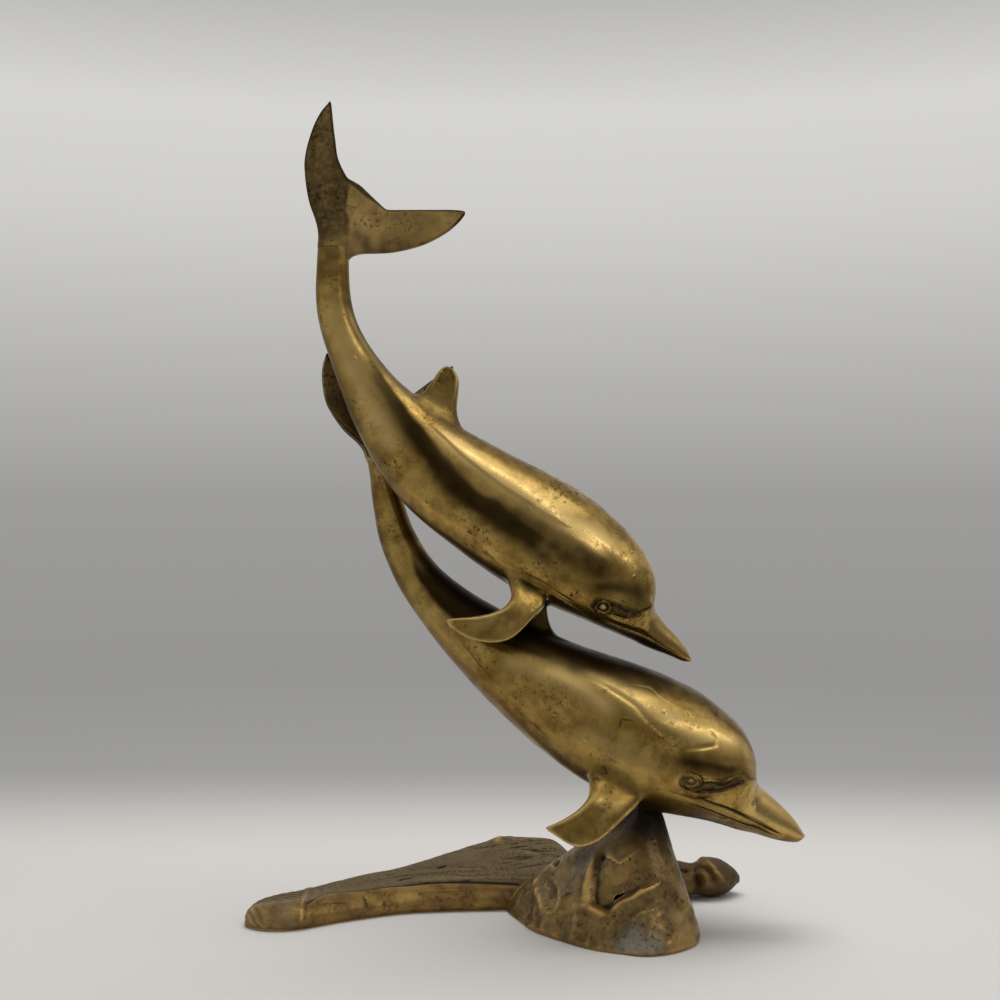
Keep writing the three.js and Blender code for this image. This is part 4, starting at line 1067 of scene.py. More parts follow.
# A pair of flukes: a flat slab of their outline, thinned at its edges and grown out of the tail's end
def flukes_mesh(name, flukes, body, seed, cutters):
    back = unit(np.array(flukes["back"], float))
    right = unit(np.array(flukes["right"], float))
    out = unit(np.cross(back, right))
    size = flukes["size"]
    joint = np.array(flukes["joint"], float) + np.array([0, 0, PEAK])
    ring = np.array(FLUKE_OUTLINE + FLUKE_OUTLINE[:2], float) * size
    ring[:, 1] *= np.where(ring[:, 1] > 0, flukes["reach"], 1.0)
    ring[:, 1] += flukes["lift"] * np.maximum(ring[:, 0] - 8, 0)
    outline = run_through(ring, np.linspace(0, len(ring) - 2, (len(ring) - 2) * 6 + 1))[:-1]
    flat = joint + outline[:, :1] * right + outline[:, 1:] * back
    count = len(outline)
    sides = [(k, (k + 1) % count, (k + 1) % count + count, k + count) for k in range(count)]
    ends = [tuple(range(count))[::-1], tuple(range(count, 2 * count))]
    slab = mesh_from(name, np.vstack([flat - out * FLUKE_SLAB, flat + out * FLUKE_SLAB]), sides, ends)
    work = bmesh.new()
    work.from_mesh(slab)
    bmesh.ops.triangulate(work, faces=[f for f in work.faces if len(f.verts) > 4])
    work.to_mesh(slab)
    work.free()
    face_outwards(slab)
    mesh = evened(slab, FLUKE_GRAIN * size ** 0.5)
    points = mesh_points(mesh)
    across, along = (points - joint) @ right, (points - joint) @ back
    level = np.clip((points - joint) @ out / FLUKE_SLAB, -1, 1)
    place = np.stack([across, along, np.zeros(len(points))], 1)
    closed = np.vstack([outline, outline[:1]])
    edge, _, _ = line_distance(place, np.column_stack([closed, np.zeros(len(closed))]))
    bump = np.exp(-((across + 5 * size) ** 2 + (along - 40 * size) ** 2) / (13 * size) ** 2)
    width = (1.9 + 2.3 * bump) * size
    sheet = size * np.interp(np.abs(across) / size, *zip(*FLUKE_THICKNESS))
    sheet *= 0.34 + 0.66 * np.sqrt(1 - (1 - np.minimum(edge / width, 1)) ** 2)

    back_x, back_z, belly_x, belly_z, middle_y, half_wide = (float(v) for v in body.read(0.0))
    end = np.array([(back_x + belly_x) / 2, middle_y, (back_z + belly_z) / 2])
    further = body.skin(0.3, 0.0, 1) + body.skin(0.3, math.pi, 1)
    axis = unit(2 * end - further)
    up = np.array([back_x - belly_x, 0, back_z - belly_z]) / 2
    tall = np.linalg.norm(up)
    up = unit(up - out * (up @ out))
    ahead = (points - end) @ axis
    grown = tall + 0.2 * np.maximum(ahead, 0)
    lean = (points - end) @ up - 0.12 * np.maximum(ahead, 0)
    stock = half_wide * (1 - 0.8 * smooth_step(ahead, 0, 46 * size)) * np.where(ahead < -0.2, 0.8, 1.0)
    stock = stock * np.maximum(1 - (lean / grown) ** 2, 0) ** 0.46
    blend = 2.2 * smooth_step(ahead, 0, 6)
    mixed = np.clip(0.5 + 0.5 * (stock - sheet) / np.maximum(blend, 0.01), 0, 1)
    thick = sheet * (1 - mixed) + stock * mixed + blend * mixed * (1 - mixed)
    curl = FLUKE_CURL * size * (np.abs(across) / (FLUKE_LENGTH * size)) ** 2
    centred = joint + across[:, None] * right + along[:, None] * back
    offset = (end - joint) @ out * (1 - smooth_step(ahead, 0, 30 * size))
    waves = 0.2 * soft_noise(points, 13, seed) + 0.09 * soft_noise(points, 5, seed + 1)
    waves += 0.04 * soft_noise(points, 2.2, seed + 2)
    waves = waves * smooth_step(ahead, 0.5, 8) * smooth_step(edge, 0, 3)
    rise = level * thick + curl + offset + waves * np.sign(level)
    set_points(mesh, centred + rise[:, None] * out)
    # Painted shadow over the left lobe of the upper flukes and all over the lower ones, lighter towards
    # the tips
    border = -points[:, 0] + 1.2 * soft_noise(points, 7, seed + 5)
    shadow = smooth_step(border, *FLUKE_SHADOW) if size == 1.0 else LOWER_FLUKE_SHADOW
    shadow = shadow * (0.86 + 0.14 * soft_noise(points, 9, seed + 6))
    shadow *= smooth_step(ahead + 2.5 * soft_noise(points, 6, seed + 7), 0, 9)
    shadow *= 1 - 0.4 * smooth_step(along, 45, 75)
    stain = 0.6 * (0.75 + 0.4 * soft_noise(points, 5, seed + 8)) * (1 - smooth_step(ahead, 2, 14))
    # Painted shade along the rims, nearly black along the trailing edges
    rim = (1 - smooth_step(edge, 0.5, 0.75 * width)) * smooth_step(ahead, 0, 12)
    write_attribute(mesh, "dull_and_shadow", shadow)
    trailing = smooth_step(along - (15 + 0.66 * np.abs(across)) * size, -4, 4)
    edge_line = 1 - smooth_step(edge, 0.9 + 1.9 * bump, 1.5 + 2.4 * bump)
    write_attribute(mesh, "hollow", np.maximum(np.maximum(0.4 * rim, stain), 0.9 * trailing * edge_line))
    write_attribute(mesh, "worn", np.zeros(len(points)))
    return cut(mesh, *cutters)


# Middle of the photograph in its pixels, and how far off a mark lies that misses the surface
PHOTO_MIDDLE = 500
MISS_DISTANCE = 870


# Where a place in the photograph lies on a surface, in drawing millimetres
def seen(skin, marks):
    found = []
    for x, y in marks:
        ray = Vector(((x - PHOTO_MIDDLE) / FOCAL_PX, 1.0, -(y - PHOTO_MIDDLE) / FOCAL_PX)).normalized()
        spot = skin.ray_cast(Vector(EYE), ray)[0]
        if spot is None:
            spot = Vector(EYE) + ray * MISS_DISTANCE
        found.append(tuple(spot))
    return np.array(found)


# Ridges, grooves and pits seen in the photograph: marks in its pixels, height in mm, width in mm
def relief_of(points, skin, features):
    return sum(carved(points, smooth_line(seen(skin, marks), 5), height, width)
               for marks, height, width in features)


# Ledges: the surface sinks on the right of the marks' line; depth, lip and width in mm
ROCK_LEDGES = [
    ([(668, 878), (640, 892), (620, 903), (608, 913), (592, 908), (587, 896), (590, 874), (596, 852),
      (612, 838)], 3.2, 5.0, 17.0),
    ([(676, 898), (662, 906), (640, 914), (624, 924)], 1.8, 4.0, 11.0),
    ([(577, 888), (579, 912), (575, 936)], 1.1, 6.0, 13.0),
    ([(652, 830), (664, 864), (680, 896), (694, 924)], 1.2, 4.5, 11.0),
    ([(530, 864), (536, 890), (533, 925)], 0.9, 4.0, 10.0),
]
ROCK_FEATURES = [
    ([(586, 905), (597, 912), (608, 916), (618, 906), (637, 895), (658, 884)], 1.2, 3.0),
    ([(592, 857), (587, 880), (584, 903)], 1.1, 3.6),
    ([(655, 918), (664, 911), (671, 905)], 1.0, 2.8),
    ([(559, 859), (552, 866)], -3.2, 3.4),
    ([(548, 851), (560, 849), (574, 854)], 1.4, 2.4),
    ([(496, 878), (502, 897), (510, 915)], -0.8, 2.2),
    ([(506, 872), (511, 893), (518, 918)], 0.7, 2.6),
    ([(518, 868), (523, 892), (531, 922)], -0.9, 2.2),
    ([(528, 866), (536, 882), (541, 905), (543, 930)], 0.8, 2.6),
    ([(541, 872), (550, 880), (556, 895), (552, 925)], -0.9, 2.2),
    ([(535, 878), (546, 874), (556, 883), (560, 900), (553, 914), (543, 908), (541, 896)], 0.6, 1.8),
    ([(556, 872), (568, 888), (574, 908), (571, 936)], 0.8, 2.6),
    ([(601, 856)], -1.3, 1.3),
    ([(652, 838)], -1.2, 1.1),
    ([(655, 843)], -1.0, 1.0),
    ([(629, 858)], -1.1, 1.2),
    ([(622, 950)], -0.9, 1.5),
    ([(668, 940)], -0.9, 1.8),
]
# Bare grey metal on the rock's foot
ROCK_PALE_PATCH = [(628, 945), (640, 948), (652, 946), (634, 936)]


def rock_rings(heights, shares, inset=0.0):
    closed = [ROCK_FOOTPRINT[-1], *ROCK_FOOTPRINT, ROCK_FOOTPRINT[0], ROCK_FOOTPRINT[1]]
    foot = run_through(closed, 1 + shares * len(ROCK_FOOTPRINT))
    out = foot[:, :2] - np.array(ROCK_PEAK)
    length = np.linalg.norm(out, axis=1)
    out = out / length[:, None]
    level = np.maximum(heights, 0)[:, None]
    radius = length * (1 - level ** foot[:, 2]) + ROCK_PEAK_RADIUS * level - inset
    z = np.broadcast_to(heights[:, None] * PEAK, radius.shape)

    def points():
        return np.stack([*(ROCK_PEAK[k] + out[:, k] * radius for k in (0, 1)), z], axis=-1)

    for at, reach, depth in ROCK_SCOOPS:
        distance = np.linalg.norm(points() - np.array(at), axis=-1)
        fade = np.clip(z / ROCK_FOOT_DEPTH, 0, 1) * np.exp(-((distance / reach) ** 2))
        radius = radius - depth * fade * (0.8 if inset > 0 else 1)
    radius = np.maximum(radius, 2)
    return points()


def grid_normals(points, closed):
    if closed:
        around = np.roll(points, -1, axis=1) - np.roll(points, 1, axis=1)
    else:
        around = np.gradient(points, axis=1)
    along = np.gradient(points, axis=0)
    return unit(np.cross(around, along))


# A plain grid of rings, to look up where marks of the photograph lie
def grid_skin(name, rings, closed=True):
    return tree_of(mesh_from(name, rings.reshape(-1, 3), grid_faces(*rings.shape[:2], closed=closed)))


# How near a place is to the floor: 1 on it, 0 at a height and above
def floor_share(flat, height):
    return np.clip(1 - flat[:, 2] / height, 0, 1)


# Grids of the base: rows and columns
ROCK_GRID = (118, 380)
LIMB_GRID = (245, 150)
BRANCH_GRID = (96, 110)


def rock_mesh(cutters):
    rows, columns = ROCK_GRID
    rings = rock_rings(np.linspace(0, 0.985, rows), np.arange(columns) / columns)
    skin = grid_skin("rock_base", rings)
    outward = grid_normals(rings, closed=True).reshape(-1, 3)
    flat = rings.reshape(-1, 3)
    lift = relief_of(flat, skin, ROCK_FEATURES)
    for marks, depth, lip, width in ROCK_LEDGES:
        lift += ledge(flat, outward, smooth_line(seen(skin, marks), 5), depth, lip, width)
    lift += 0.9 * soft_noise(flat, 19, 21) + 0.4 * soft_noise(flat, 8, 22)
    lift += 0.16 * soft_noise(flat, 3.4, 23) + 0.06 * soft_noise(flat, 1.6, 24)
    low = floor_share(flat, 3.0)
    lift = lift * (1 - 0.7 * low) - 1.2 * low**2
    moved = (flat + outward * lift[:, None]).reshape(rings.shape)
    moved[0, :, 2] = 0
    moved[..., 2] = np.maximum(moved[..., 2], 0)
    mesh = loft("rock_casting", moved)
    foot = seen(skin, ROCK_PALE_PATCH)
    pale = np.exp(-np.min(np.linalg.norm(flat[:, None] - foot[None], axis=2), axis=1) ** 2 / 42)
    write_attribute(mesh, "dull_and_shadow", 0.85 * pale * (0.75 + 0.25 * soft_noise(flat, 5, 27)))
    inner_heights = np.append(np.linspace(-0.02, 0.6, 14), ROCK_CEILING / PEAK)
    inside = loft("rock_inside", rock_rings(inner_heights, np.arange(64) / 64, ROCK_WALL))
    hull = mesh.copy()
    return cut(mesh, inside, *cutters), hull


LIMB_FEATURES = [
    ([(476, 844), (484, 841), (498, 839), (514, 839)], 2.0, 4.0),
    ([(500, 856), (520, 852), (545, 857)], 1.2, 3.0),
    ([(398, 880), (405, 878), (413, 878)], -1.0, 1.2),
    ([(436, 868), (446, 866)], -0.9, 1.2),
    ([(363, 895), (366, 903), (368, 910)], -0.5, 1.2),
    ([(470, 893), (478, 903)], -0.5, 1.4),
    ([(300, 908), (330, 903), (352, 903)], -0.5, 1.0),
    ([(420, 893), (440, 892), (462, 891)], -0.5, 1.0),
]
LIMB_EDGE = [(300, 905), (309, 902), (328, 893), (361, 890), (387, 886), (415, 884), (452, 881),
             (495, 882), (520, 884)]


def limb_rings(places, columns, inset=0.0, drop=0.0):
    share, front, back, shoulder, ridge = run_through(LIMB, places).T
    x = LIMB_ROOT - LIMB_LENGTH * share
    width = back - front
    outline = np.stack([
        np.stack([front + inset, np.full_like(x, drop)], 1),
        np.stack([front - 1.5 + inset, 0.5 * (shoulder - inset)], 1),
        np.stack([front + 0.14 * width + inset * 0.7, shoulder - inset], 1),
        np.stack([front + 0.48 * width, 0.5 * (shoulder + ridge) - inset], 1),
        np.stack([front + 0.8 * width - inset * 0.5, ridge - inset], 1),
        np.stack([front + 0.96 * width - inset, 0.55 * ridge - inset * 0.6], 1),
        np.stack([back - inset, np.full_like(x, drop)], 1),
    ], 0)
    flat = run_through(outline.reshape(7, -1), np.linspace(0, 6, columns)).reshape(columns, len(x), 2)
    rings = np.empty((len(x), columns, 3))
    rings[..., 0] = x[:, None]
    rings[..., 1] = flat[..., 0].T
    rings[..., 2] = np.maximum(flat[..., 1].T, drop)
    return rings


def limb_mesh(cutters):
    probe = np.linspace(0, 10, 1500)
    x = LIMB_ROOT - LIMB_LENGTH * run_through(LIMB, probe)[:, 0]
    rows, columns = LIMB_GRID
    places = np.interp(np.linspace(x[0], x[-1], rows), x, probe)
    rings = limb_rings(places, columns)
    skin = grid_skin("limb_base", rings, closed=False)
    flat = rings.reshape(-1, 3)
    out = grid_normals(rings, closed=False).reshape(-1, 3)
    if out[:, 2].mean() < 0:
        out = -out
    edge = smooth_line(seen(skin, LIMB_EDGE), 5)
    behind = flat[:, 1] - np.interp(flat[:, 0], edge[:, 0], edge[:, 1])
    fan = smooth_step(behind, -1.0, 1.5) * smooth_step(flat[:, 0], LIMB_CUT_AT, -112)
    around = run_across(rings).ravel()
    drift = 5.0 * soft_noise(flat * np.array([0.25, 1, 1]), 16, 31)
    deep_grain = soft_noise(np.stack([flat[:, 0] * 0.09, around + drift, around * 0], 1), 3.6, 32)
    fine_grain = soft_noise(np.stack([flat[:, 0] * 0.14, around + 1.3 * drift, around * 0], 1), 1.9, 33)
    lines = np.exp(-(deep_grain / 0.16) ** 2)
    fine_lines = np.exp(-(fine_grain / 0.2) ** 2)
    lift = fan * (-0.3 * lines - 0.14 * fine_lines + 0.3 * deep_grain)
    lift += (1 - fan) * (0.1 * deep_grain - 0.05 * fine_lines + 0.12 * soft_noise(flat, 9, 34))
    lift += 0.5 * soft_noise(flat, 22, 35) + 0.05 * soft_noise(flat, 2.4, 36)
    near_edge = np.exp(-(behind / 1.6) ** 2) * smooth_step(flat[:, 0], LIMB_CUT_AT, -110)
    bulge = np.exp(-((behind + 5) / 4.5) ** 2) * smooth_step(flat[:, 0], LIMB_CUT_AT, -100)
    lift += -1.3 * near_edge + 0.7 * bulge
    lift += relief_of(flat, skin, LIMB_FEATURES)
    cut_end = 1 - smooth_step(flat[:, 0], LIMB_CUT_AT, -120)
    from_heart = np.linalg.norm((flat - np.array(LIMB_HEART)) * np.array([0.5, 1, 1]), axis=1)
    rings_of_growth = np.sin(from_heart * 2 * math.pi / LIMB_RING_WIDTH)
    lift += cut_end * 0.22 * rings_of_growth
    rim = np.exp(-((flat[:, 0] + 121) / 1.8) ** 2) * smooth_step(flat[:, 2], 3, 8)
    lift += 0.7 * rim
    lift = lift * (1 - 0.8 * floor_share(flat, 3.0))
    moved = (flat + out * lift[:, None]).reshape(rings.shape)
    moved[:, 0, 2] = 0
    moved[:, -1, 2] = 0
    moved[..., 2] = np.maximum(moved[..., 2], 0)
    ending = np.clip((moved[..., 0] - LIMB_END) / (LIMB_ROOT + 1 - LIMB_END), 0, 1)
    rounded = np.sqrt(1 - 0.8 * ending**2)
    front_y = moved[:, :1, 1]
    moved[..., 1] = front_y + (moved[..., 1] - front_y) * rounded
    moved[..., 2] *= np.where(moved[..., 1] > front_y + 20, 0.35 + 0.65 * rounded, 1)
    mesh = loft("driftwood_limb_casting", moved)
    write_attribute(mesh, "dull_and_shadow", np.maximum(fan, 0.5 * cut_end))
    inner = np.linspace(LIMB_NOSE, 9.3, 40)
    inside = loft("limb_inside", limb_rings(inner, 36, LIMB_WALL, -1.0))
    return cut(mesh, inside, *cutters)


BRANCH_FEATURES = [
    ([(697, 868), (705, 869), (712, 877), (716, 888)], -1.8, 2.2),
    ([(684, 868)], -3.5, 5.0),
    ([(694, 866), (697, 880), (696, 893)], -2.0, 2.0),
    ([(703, 858), (712, 866), (724, 880), (728, 890)], 0.9, 2.2),
    ([(689, 879)], 0.8, 3.0),
]


def branch_mesh(cutters):
    rows, columns = BRANCH_GRID
    places = np.linspace(0, len(BRANCH) - 1, rows)
    x, centre_y, centre_z, half_y, half_z = run_through(BRANCH, places).T
    rounded = np.sqrt(1 - 0.9 * np.clip((BRANCH_END - x) / (BRANCH_END - x[0]), 0, 1) ** 2)
    turn = turns(columns)
    y = centre_y[:, None] + (half_y * rounded)[:, None] * np.cos(turn)
    z = np.maximum(centre_z[:, None] + (half_z * rounded)[:, None] * np.sin(turn), 0.0)
    rings = np.stack([np.broadcast_to(x[:, None], y.shape), y, z], axis=-1)
    skin = grid_skin("branch_base", rings)
    centre = np.stack([x, centre_y, centre_z], 1)[:, None]
    out = unit(rings - centre).reshape(-1, 3)
    flat = rings.reshape(-1, 3)
    lift = relief_of(flat, skin, BRANCH_FEATURES)
    lift += 0.9 * soft_noise(flat, 9, 41) + 0.4 * soft_noise(flat * np.array([0.35, 1, 1]), 3.6, 42)
    lift += 0.15 * soft_noise(flat, 1.9, 43)
    moved = flat + out * (lift * (1 - floor_share(flat, 2.0)))[:, None]
    moved[:, 2] = np.maximum(moved[:, 2], 0)
    return cut(loft("broken_branch_casting", moved.reshape(rings.shape)), *cutters)


ROUND_SIDES = 64


# A bar round the stud's axis, round or with a few flats
def bar(name, radius, low, high, sides=ROUND_SIDES, start=0.0):
    turn = start + turns(sides)
    ring = np.stack([STUD_AT[0] + radius * np.cos(turn), STUD_AT[1] + radius * np.sin(turn)], 1)
    return loft(name, [np.column_stack([ring, np.full(sides, z)]) for z in (low, high)])


# Colours are written as on a screen and turned to linear light here
def colour(code):
    parts = [int(code[k:k + 2], 16) / 255 for k in (1, 3, 5)]
    return (*[p / 12.92 if p <= 0.04045 else ((p + 0.055) / 1.055) ** 2.4 for p in parts], 1.0)


# Adds a node: settings are its properties or inputs, stops are a ramp's colours. A link comes from an
# output, or from a node, whose first output it then takes.
def add(tree, kind, settings=None, links=None, stops=()):
    node = tree.nodes.new(kind)
    for key, value in (settings or {}).items():
        if isinstance(key, str) and hasattr(node, key):
            setattr(node, key, value)
    for key, value in (settings or {}).items():
        if isinstance(key, int) or not hasattr(node, key):
            input_of(node, key).default_value = value
    for key, source in (links or {}).items():
        tree.links.new(getattr(source, "outputs", [source])[0], input_of(node, key))
    for k, (position, value) in enumerate(stops):
        element = node.color_ramp.elements[k] if k < 2 else node.color_ramp.elements.new(position)
        element.position = position
        element.color = colour(value) if isinstance(value, str) else (value, value, value, 1.0)
    return node


def input_of(node, key):
    if isinstance(key, int):
        return node.inputs[key]
    for socket in node.inputs:
        if socket.identifier == key:
            return socket
    return node.inputs[key]


def new_material(name):
    material = bpy.data.materials.new(name)
    material.use_nodes = True
    material.node_tree.nodes.clear()
    return material, material.node_tree


# Kinds of nodes that come often, and where a Mix node gives its colour
MATH = "ShaderNodeMath"
RAMP = "ShaderNodeValToRGB"
RANGE = "ShaderNodeMapRange"
NOISE = "ShaderNodeTexNoise"
MIX = "ShaderNodeMix"
MOVE = "GeometryNodeSetPosition"
MIXED_COLOUR = 2


def scaled(size_mm):
    return 1.0 / (size_mm * MM)


# Noises in cast brass: size in mm, detail, roughness
BRASS_NOISES = {
    "drift": (34, 4.0, 0.55), "cloud": (11, 5.0, 0.6), "crust": (3.4, 4.0, 0.65), "clump": (23, 2.0, 0.5),
    "freckle": (2.6, 2.5, 0.6), "fine": (3, 3.0, 0.5),
}


# Cast brass: a tone that drifts over it, brown in hollows and in painted shade, bright on worn ridges and
# in painted highlights, freckled by tarnish
def brass(name, tones, film, dull_and_shadow, deep, worn, rough, freckles, pits, grit, metal, brushed=0.0):
    material, tree = new_material(name)
    where = add(tree, "ShaderNodeTexCoord").outputs["Object"]
    noise = {}
    for kind, (size, detail, roughness) in BRASS_NOISES.items():
        settings = {"Scale": scaled(size), "Detail": detail, "Roughness": roughness}
        noise[kind] = add(tree, NOISE, settings, {"Vector": where})
    # Attributes of the piece: dullness and painted shadow, patina and painted shade, wear and painted
    # highlights
    part = {}
    for kind in ("dull_and_shadow", "hollow", "worn"):
        part[kind] = add(tree, "ShaderNodeAttribute", {"attribute_name": kind}).outputs["Fac"]

    tone = add(tree, RAMP, links={"Fac": noise["drift"]},
               stops=[(0.38, tones[0]), (0.5, tones[1]), (0.62, tones[2])])
    film_share = add(tree, RAMP, links={"Fac": noise["cloud"]},
                     stops=[(0.43, 0.0), (0.64, 0.75)])
    crusted = add(tree, RANGE, {"From Min": 0.36, "From Max": 0.56, "To Min": 0.7, "To Max": 1.0},
                  {"Value": noise["crust"]})
    dull_share = add(tree, MATH, {"operation": "MULTIPLY"}, {0: part["dull_and_shadow"], 1: crusted})

    clumps = add(tree, RAMP, links={"Fac": noise["clump"]}, stops=[(0.42, 0.1), (0.62, 1.0)])
    specks = add(tree, RAMP, links={"Fac": noise["freckle"]},
                 stops=[(0.535, 0.0), (0.64, freckles)])
    freckled = add(tree, MATH, {"operation": "MULTIPLY"}, {0: specks, 1: clumps})
    pit = add(tree, "ShaderNodeTexVoronoi", {"Scale": scaled(pits[0])}, {"Vector": where})
    pitted = add(tree, RAMP, links={"Fac": pit}, stops=[(0.45 * pits[1], 0.85), (pits[1], 0.0)])
    pitted_clumps = add(tree, MATH, {"operation": "MULTIPLY"}, {0: pitted, 1: clumps})
    spotted = add(tree, MATH, {"operation": "MAXIMUM"}, {0: freckled, 1: pitted_clumps})
    shade_and_grime = add(tree, MATH, {"operation": "MAXIMUM"}, {0: part["hollow"], 1: spotted})

    coat = tone
    for tint, share in ((film, film_share), (dull_and_shadow, dull_share), (deep, shade_and_grime), (worn, part["worn"])):
        layer = add(tree, MIX, {"data_type": "RGBA", "B_Color": colour(tint)},
                    {"Factor_Float": share, "A_Color": coat})
        coat = layer.outputs[MIXED_COLOUR]

    rough_share = add(tree, RANGE,
                      {"From Min": 0.35, "From Max": 0.7, "To Min": rough[0], "To Max": rough[1]},
                      {"Value": noise["cloud"]})
    dirty = add(tree, MATH, {"operation": "MAXIMUM"}, {0: dull_share, 1: shade_and_grime})
    rough_all = add(tree, MATH, {"operation": "MULTIPLY_ADD", 1: 0.22}, {0: dirty, 2: rough_share})
    bump = add(tree, "ShaderNodeBump", {"Strength": grit, "Distance": 0.3 * MM},
               {"Height": noise["fine"]})
    if brushed:
        run = add(tree, "ShaderNodeUVMap", {"uv_map": "run"})
        stretched = add(tree, "ShaderNodeMapping", {"Scale": (scaled(22), scaled(0.8), 1.0)},
                        {"Vector": run})
        strokes = add(tree, NOISE, {"Scale": 1.0, "Detail": 3.0}, {"Vector": stretched})
        bump = add(tree, "ShaderNodeBump", {"Strength": brushed, "Distance": 0.06 * MM},
                   {"Height": strokes, "Normal": bump})
    shader = add(tree, "ShaderNodeBsdfPrincipled", {"Metallic": metal},
                 {"Base Color": coat, "Roughness": rough_all, "Normal": bump})
    add(tree, "ShaderNodeOutputMaterial", links={"Surface": shader})
    return material


# Hand-polished cast brass: old gold and olive, satin from fine scratches, freckled brown by tarnish; its
# deep tint also draws the painted shade and its worn tint the painted highlights
polished_brass = brass(
    "hand_polished_cast_brass", ["#957838", "#B3924C", "#C3A25A"], "#7C5C2C", "#54432A", "#2A1D09",
    "#DDBC78", rough=(0.17, 0.31), freckles=0.72, pits=(13, 0.07), grit=0.05, metal=0.94, brushed=0.3)
# Fluke brass: browner and mottled; its dull tint is the painted shadow on the flukes, its deep tint the
# painted shade along their edges
fluke_brass = brass(
    "tarnished_and_shaded_fluke_brass", ["#A68A4C", "#BC9C5A", "#CAA868"], "#94724A", "#463920", "#241A0C",
    "#C4A868", rough=(0.32, 0.46), freckles=0.75, pits=(9, 0.15), grit=0.12, metal=0.85)
# Base brass: rough from the sand mould, with deep brown patina that only the high spots have lost; the
# deep tint also draws the rock's painted darker top
rough_brass = brass(
    "rough_patinated_brass", ["#5E4C2C", "#7C6438", "#9A7C46"], "#4C3A20", "#A8A498", "#1A130A",
    "#D2AC66", rough=(0.32, 0.48), freckles=0.75, pits=(11, 0.13), grit=0.5, metal=0.65)
# Limb brass: rubbed golden along the log, grey-brown and matt in the grain
limb_brass = brass(
    "driftwood_limb_brass", ["#755A31", "#8A6B3A", "#9F7F44"], "#684E28", "#7C6C50", "#2A1F13", "#CDA862",
    rough=(0.32, 0.46), freckles=0.6, pits=(12, 0.08), grit=0.3, metal=0.68)


# Zinc-plated steel: bluish grey, slightly rough plating, dull in the thread
def plated_steel():
    material, tree = new_material("zinc_plated_steel")
    where = add(tree, "ShaderNodeTexCoord").outputs["Object"]
    cloud = add(tree, NOISE, {"Scale": scaled(6), "Detail": 4.0}, {"Vector": where})
    tone = add(tree, RAMP, links={"Fac": cloud}, stops=[(0.35, "#7E8083"), (0.65, "#A9ABAD")])
    rough = add(tree, RANGE, {"To Min": 0.3, "To Max": 0.5}, {"Value": cloud})
    shader = add(tree, "ShaderNodeBsdfPrincipled", {"Metallic": 1.0},
                 {"Base Color": tone, "Roughness": rough})
    add(tree, "ShaderNodeOutputMaterial", links={"Surface": shader})
    return material


zinc_steel = plated_steel()


# Shows a piece: its look, the body it rides, the CAD piece it replaces and its material slot
def show(name, mesh, node, material, sharp=42):
    mesh.name = name
    mesh.materials.clear()
    mesh.materials.append(material)
    mesh.shade_smooth()
    mesh.set_sharp_from_angle(angle=math.radians(sharp))
    obj = placed(name, mesh)
    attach(obj, "root")
    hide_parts(node)


# Sides of both bodies, the one towards the viewer first
UPPER_LOOK = (UPPER_FACE, UPPER_MARKS, UPPER_CREASES, UPPER_SHADE_BANDS, UPPER_HIGHLIGHTS, UPPER_BACK_SHADE)
LOWER_LOOK = (LOWER_FACE, LOWER_MARKS, (), LOWER_SHADE_BANDS, LOWER_HIGHLIGHTS, LOWER_BACK_SHADE)
upper_sides = [body_side(upper_body, *UPPER_LOOK, sign, 1) for sign in (-1, 1)]
lower_sides = [body_side(lower_body, *LOWER_LOOK, sign, 7) for sign in (-1, 1)]
upper_hull = body_hull("upper_hull", *upper_sides)
lower_hull = body_hull("lower_hull", *lower_sides)
bolt_hole = bar("bolt_hole", STUD_RADIUS + 0.4, 20, PEAK + 12)
upper_patina_and_light = PatinaAndPaintedLight(*upper_sides)
lower_patina_and_light = PatinaAndPaintedLight(*lower_sides)

# Hollow bodies; the lower one is seated behind the upper one's flank and bolted through its belly
for dolphin, body, sides, cutters in (("upper", upper_body, upper_sides, ()),
                                      ("lower", lower_body, lower_sides, (upper_hull, bolt_hole))):
    for half, side, sign in zip(("right", "left"), sides, (-1, 1)):
        shell = cut(half_shell(f"{dolphin}_{half}", body, side, sign), *cutters)
        show(f"{dolphin}_dolphin_{half}_half", shell, f"{dolphin}_body_{half}_half", polished_brass)


# A fin with its fillet, cut to the bodies it is brazed to, with the painted shade and highlights of the
# body at its root
def fin_piece(name, stations, hulls, fillet, seed, dish, shade_and_grime, **shape):
    mesh = filleted(loft(name, fin_rings(stations, dish, **shape)), hulls, fillet)
    points = mesh_points(mesh)
    displaced(mesh, 0.15 * soft_noise(points, 12, seed) + 0.05 * soft_noise(points, 4.5, seed + 1))
    mesh = cut(mesh, *hulls)
    patina_and_light = upper_patina_and_light if hulls[0] is upper_hull else lower_patina_and_light
    # The body's painted shade and highlights carry on over the fin's root
    dark, rubbed_and_highlight, near = patina_and_light.over(mesh_points(mesh), 1.3 * fillet)
    weather(mesh, shade_and_grime=np.maximum(dark, shade_and_grime), rubbed_and_highlight=rubbed_and_highlight, near=near)
    show(name, mesh, f"{name}_fin", polished_brass)


upper_far_fin = far_fin(UPPER_PECTORAL, 0, UPPER_FAR_SWING)
lower_far_fin = far_fin(LOWER_PECTORAL, LOWER_FIN_SIDE, LOWER_FAR_SWING)
fin_piece("upper_dorsal", UPPER_DORSAL, [upper_hull], 13, 50, 1.6, 0.45, rim=0.72, fade=0.35, tip=0.3)
for side, stations, seed in (("right", UPPER_PECTORAL, 53), ("left", upper_far_fin, 56)):
    fin_piece(f"upper_{side}_pectoral", stations, [upper_hull], 9, seed, 0.6, 0.2, fade=0.35)
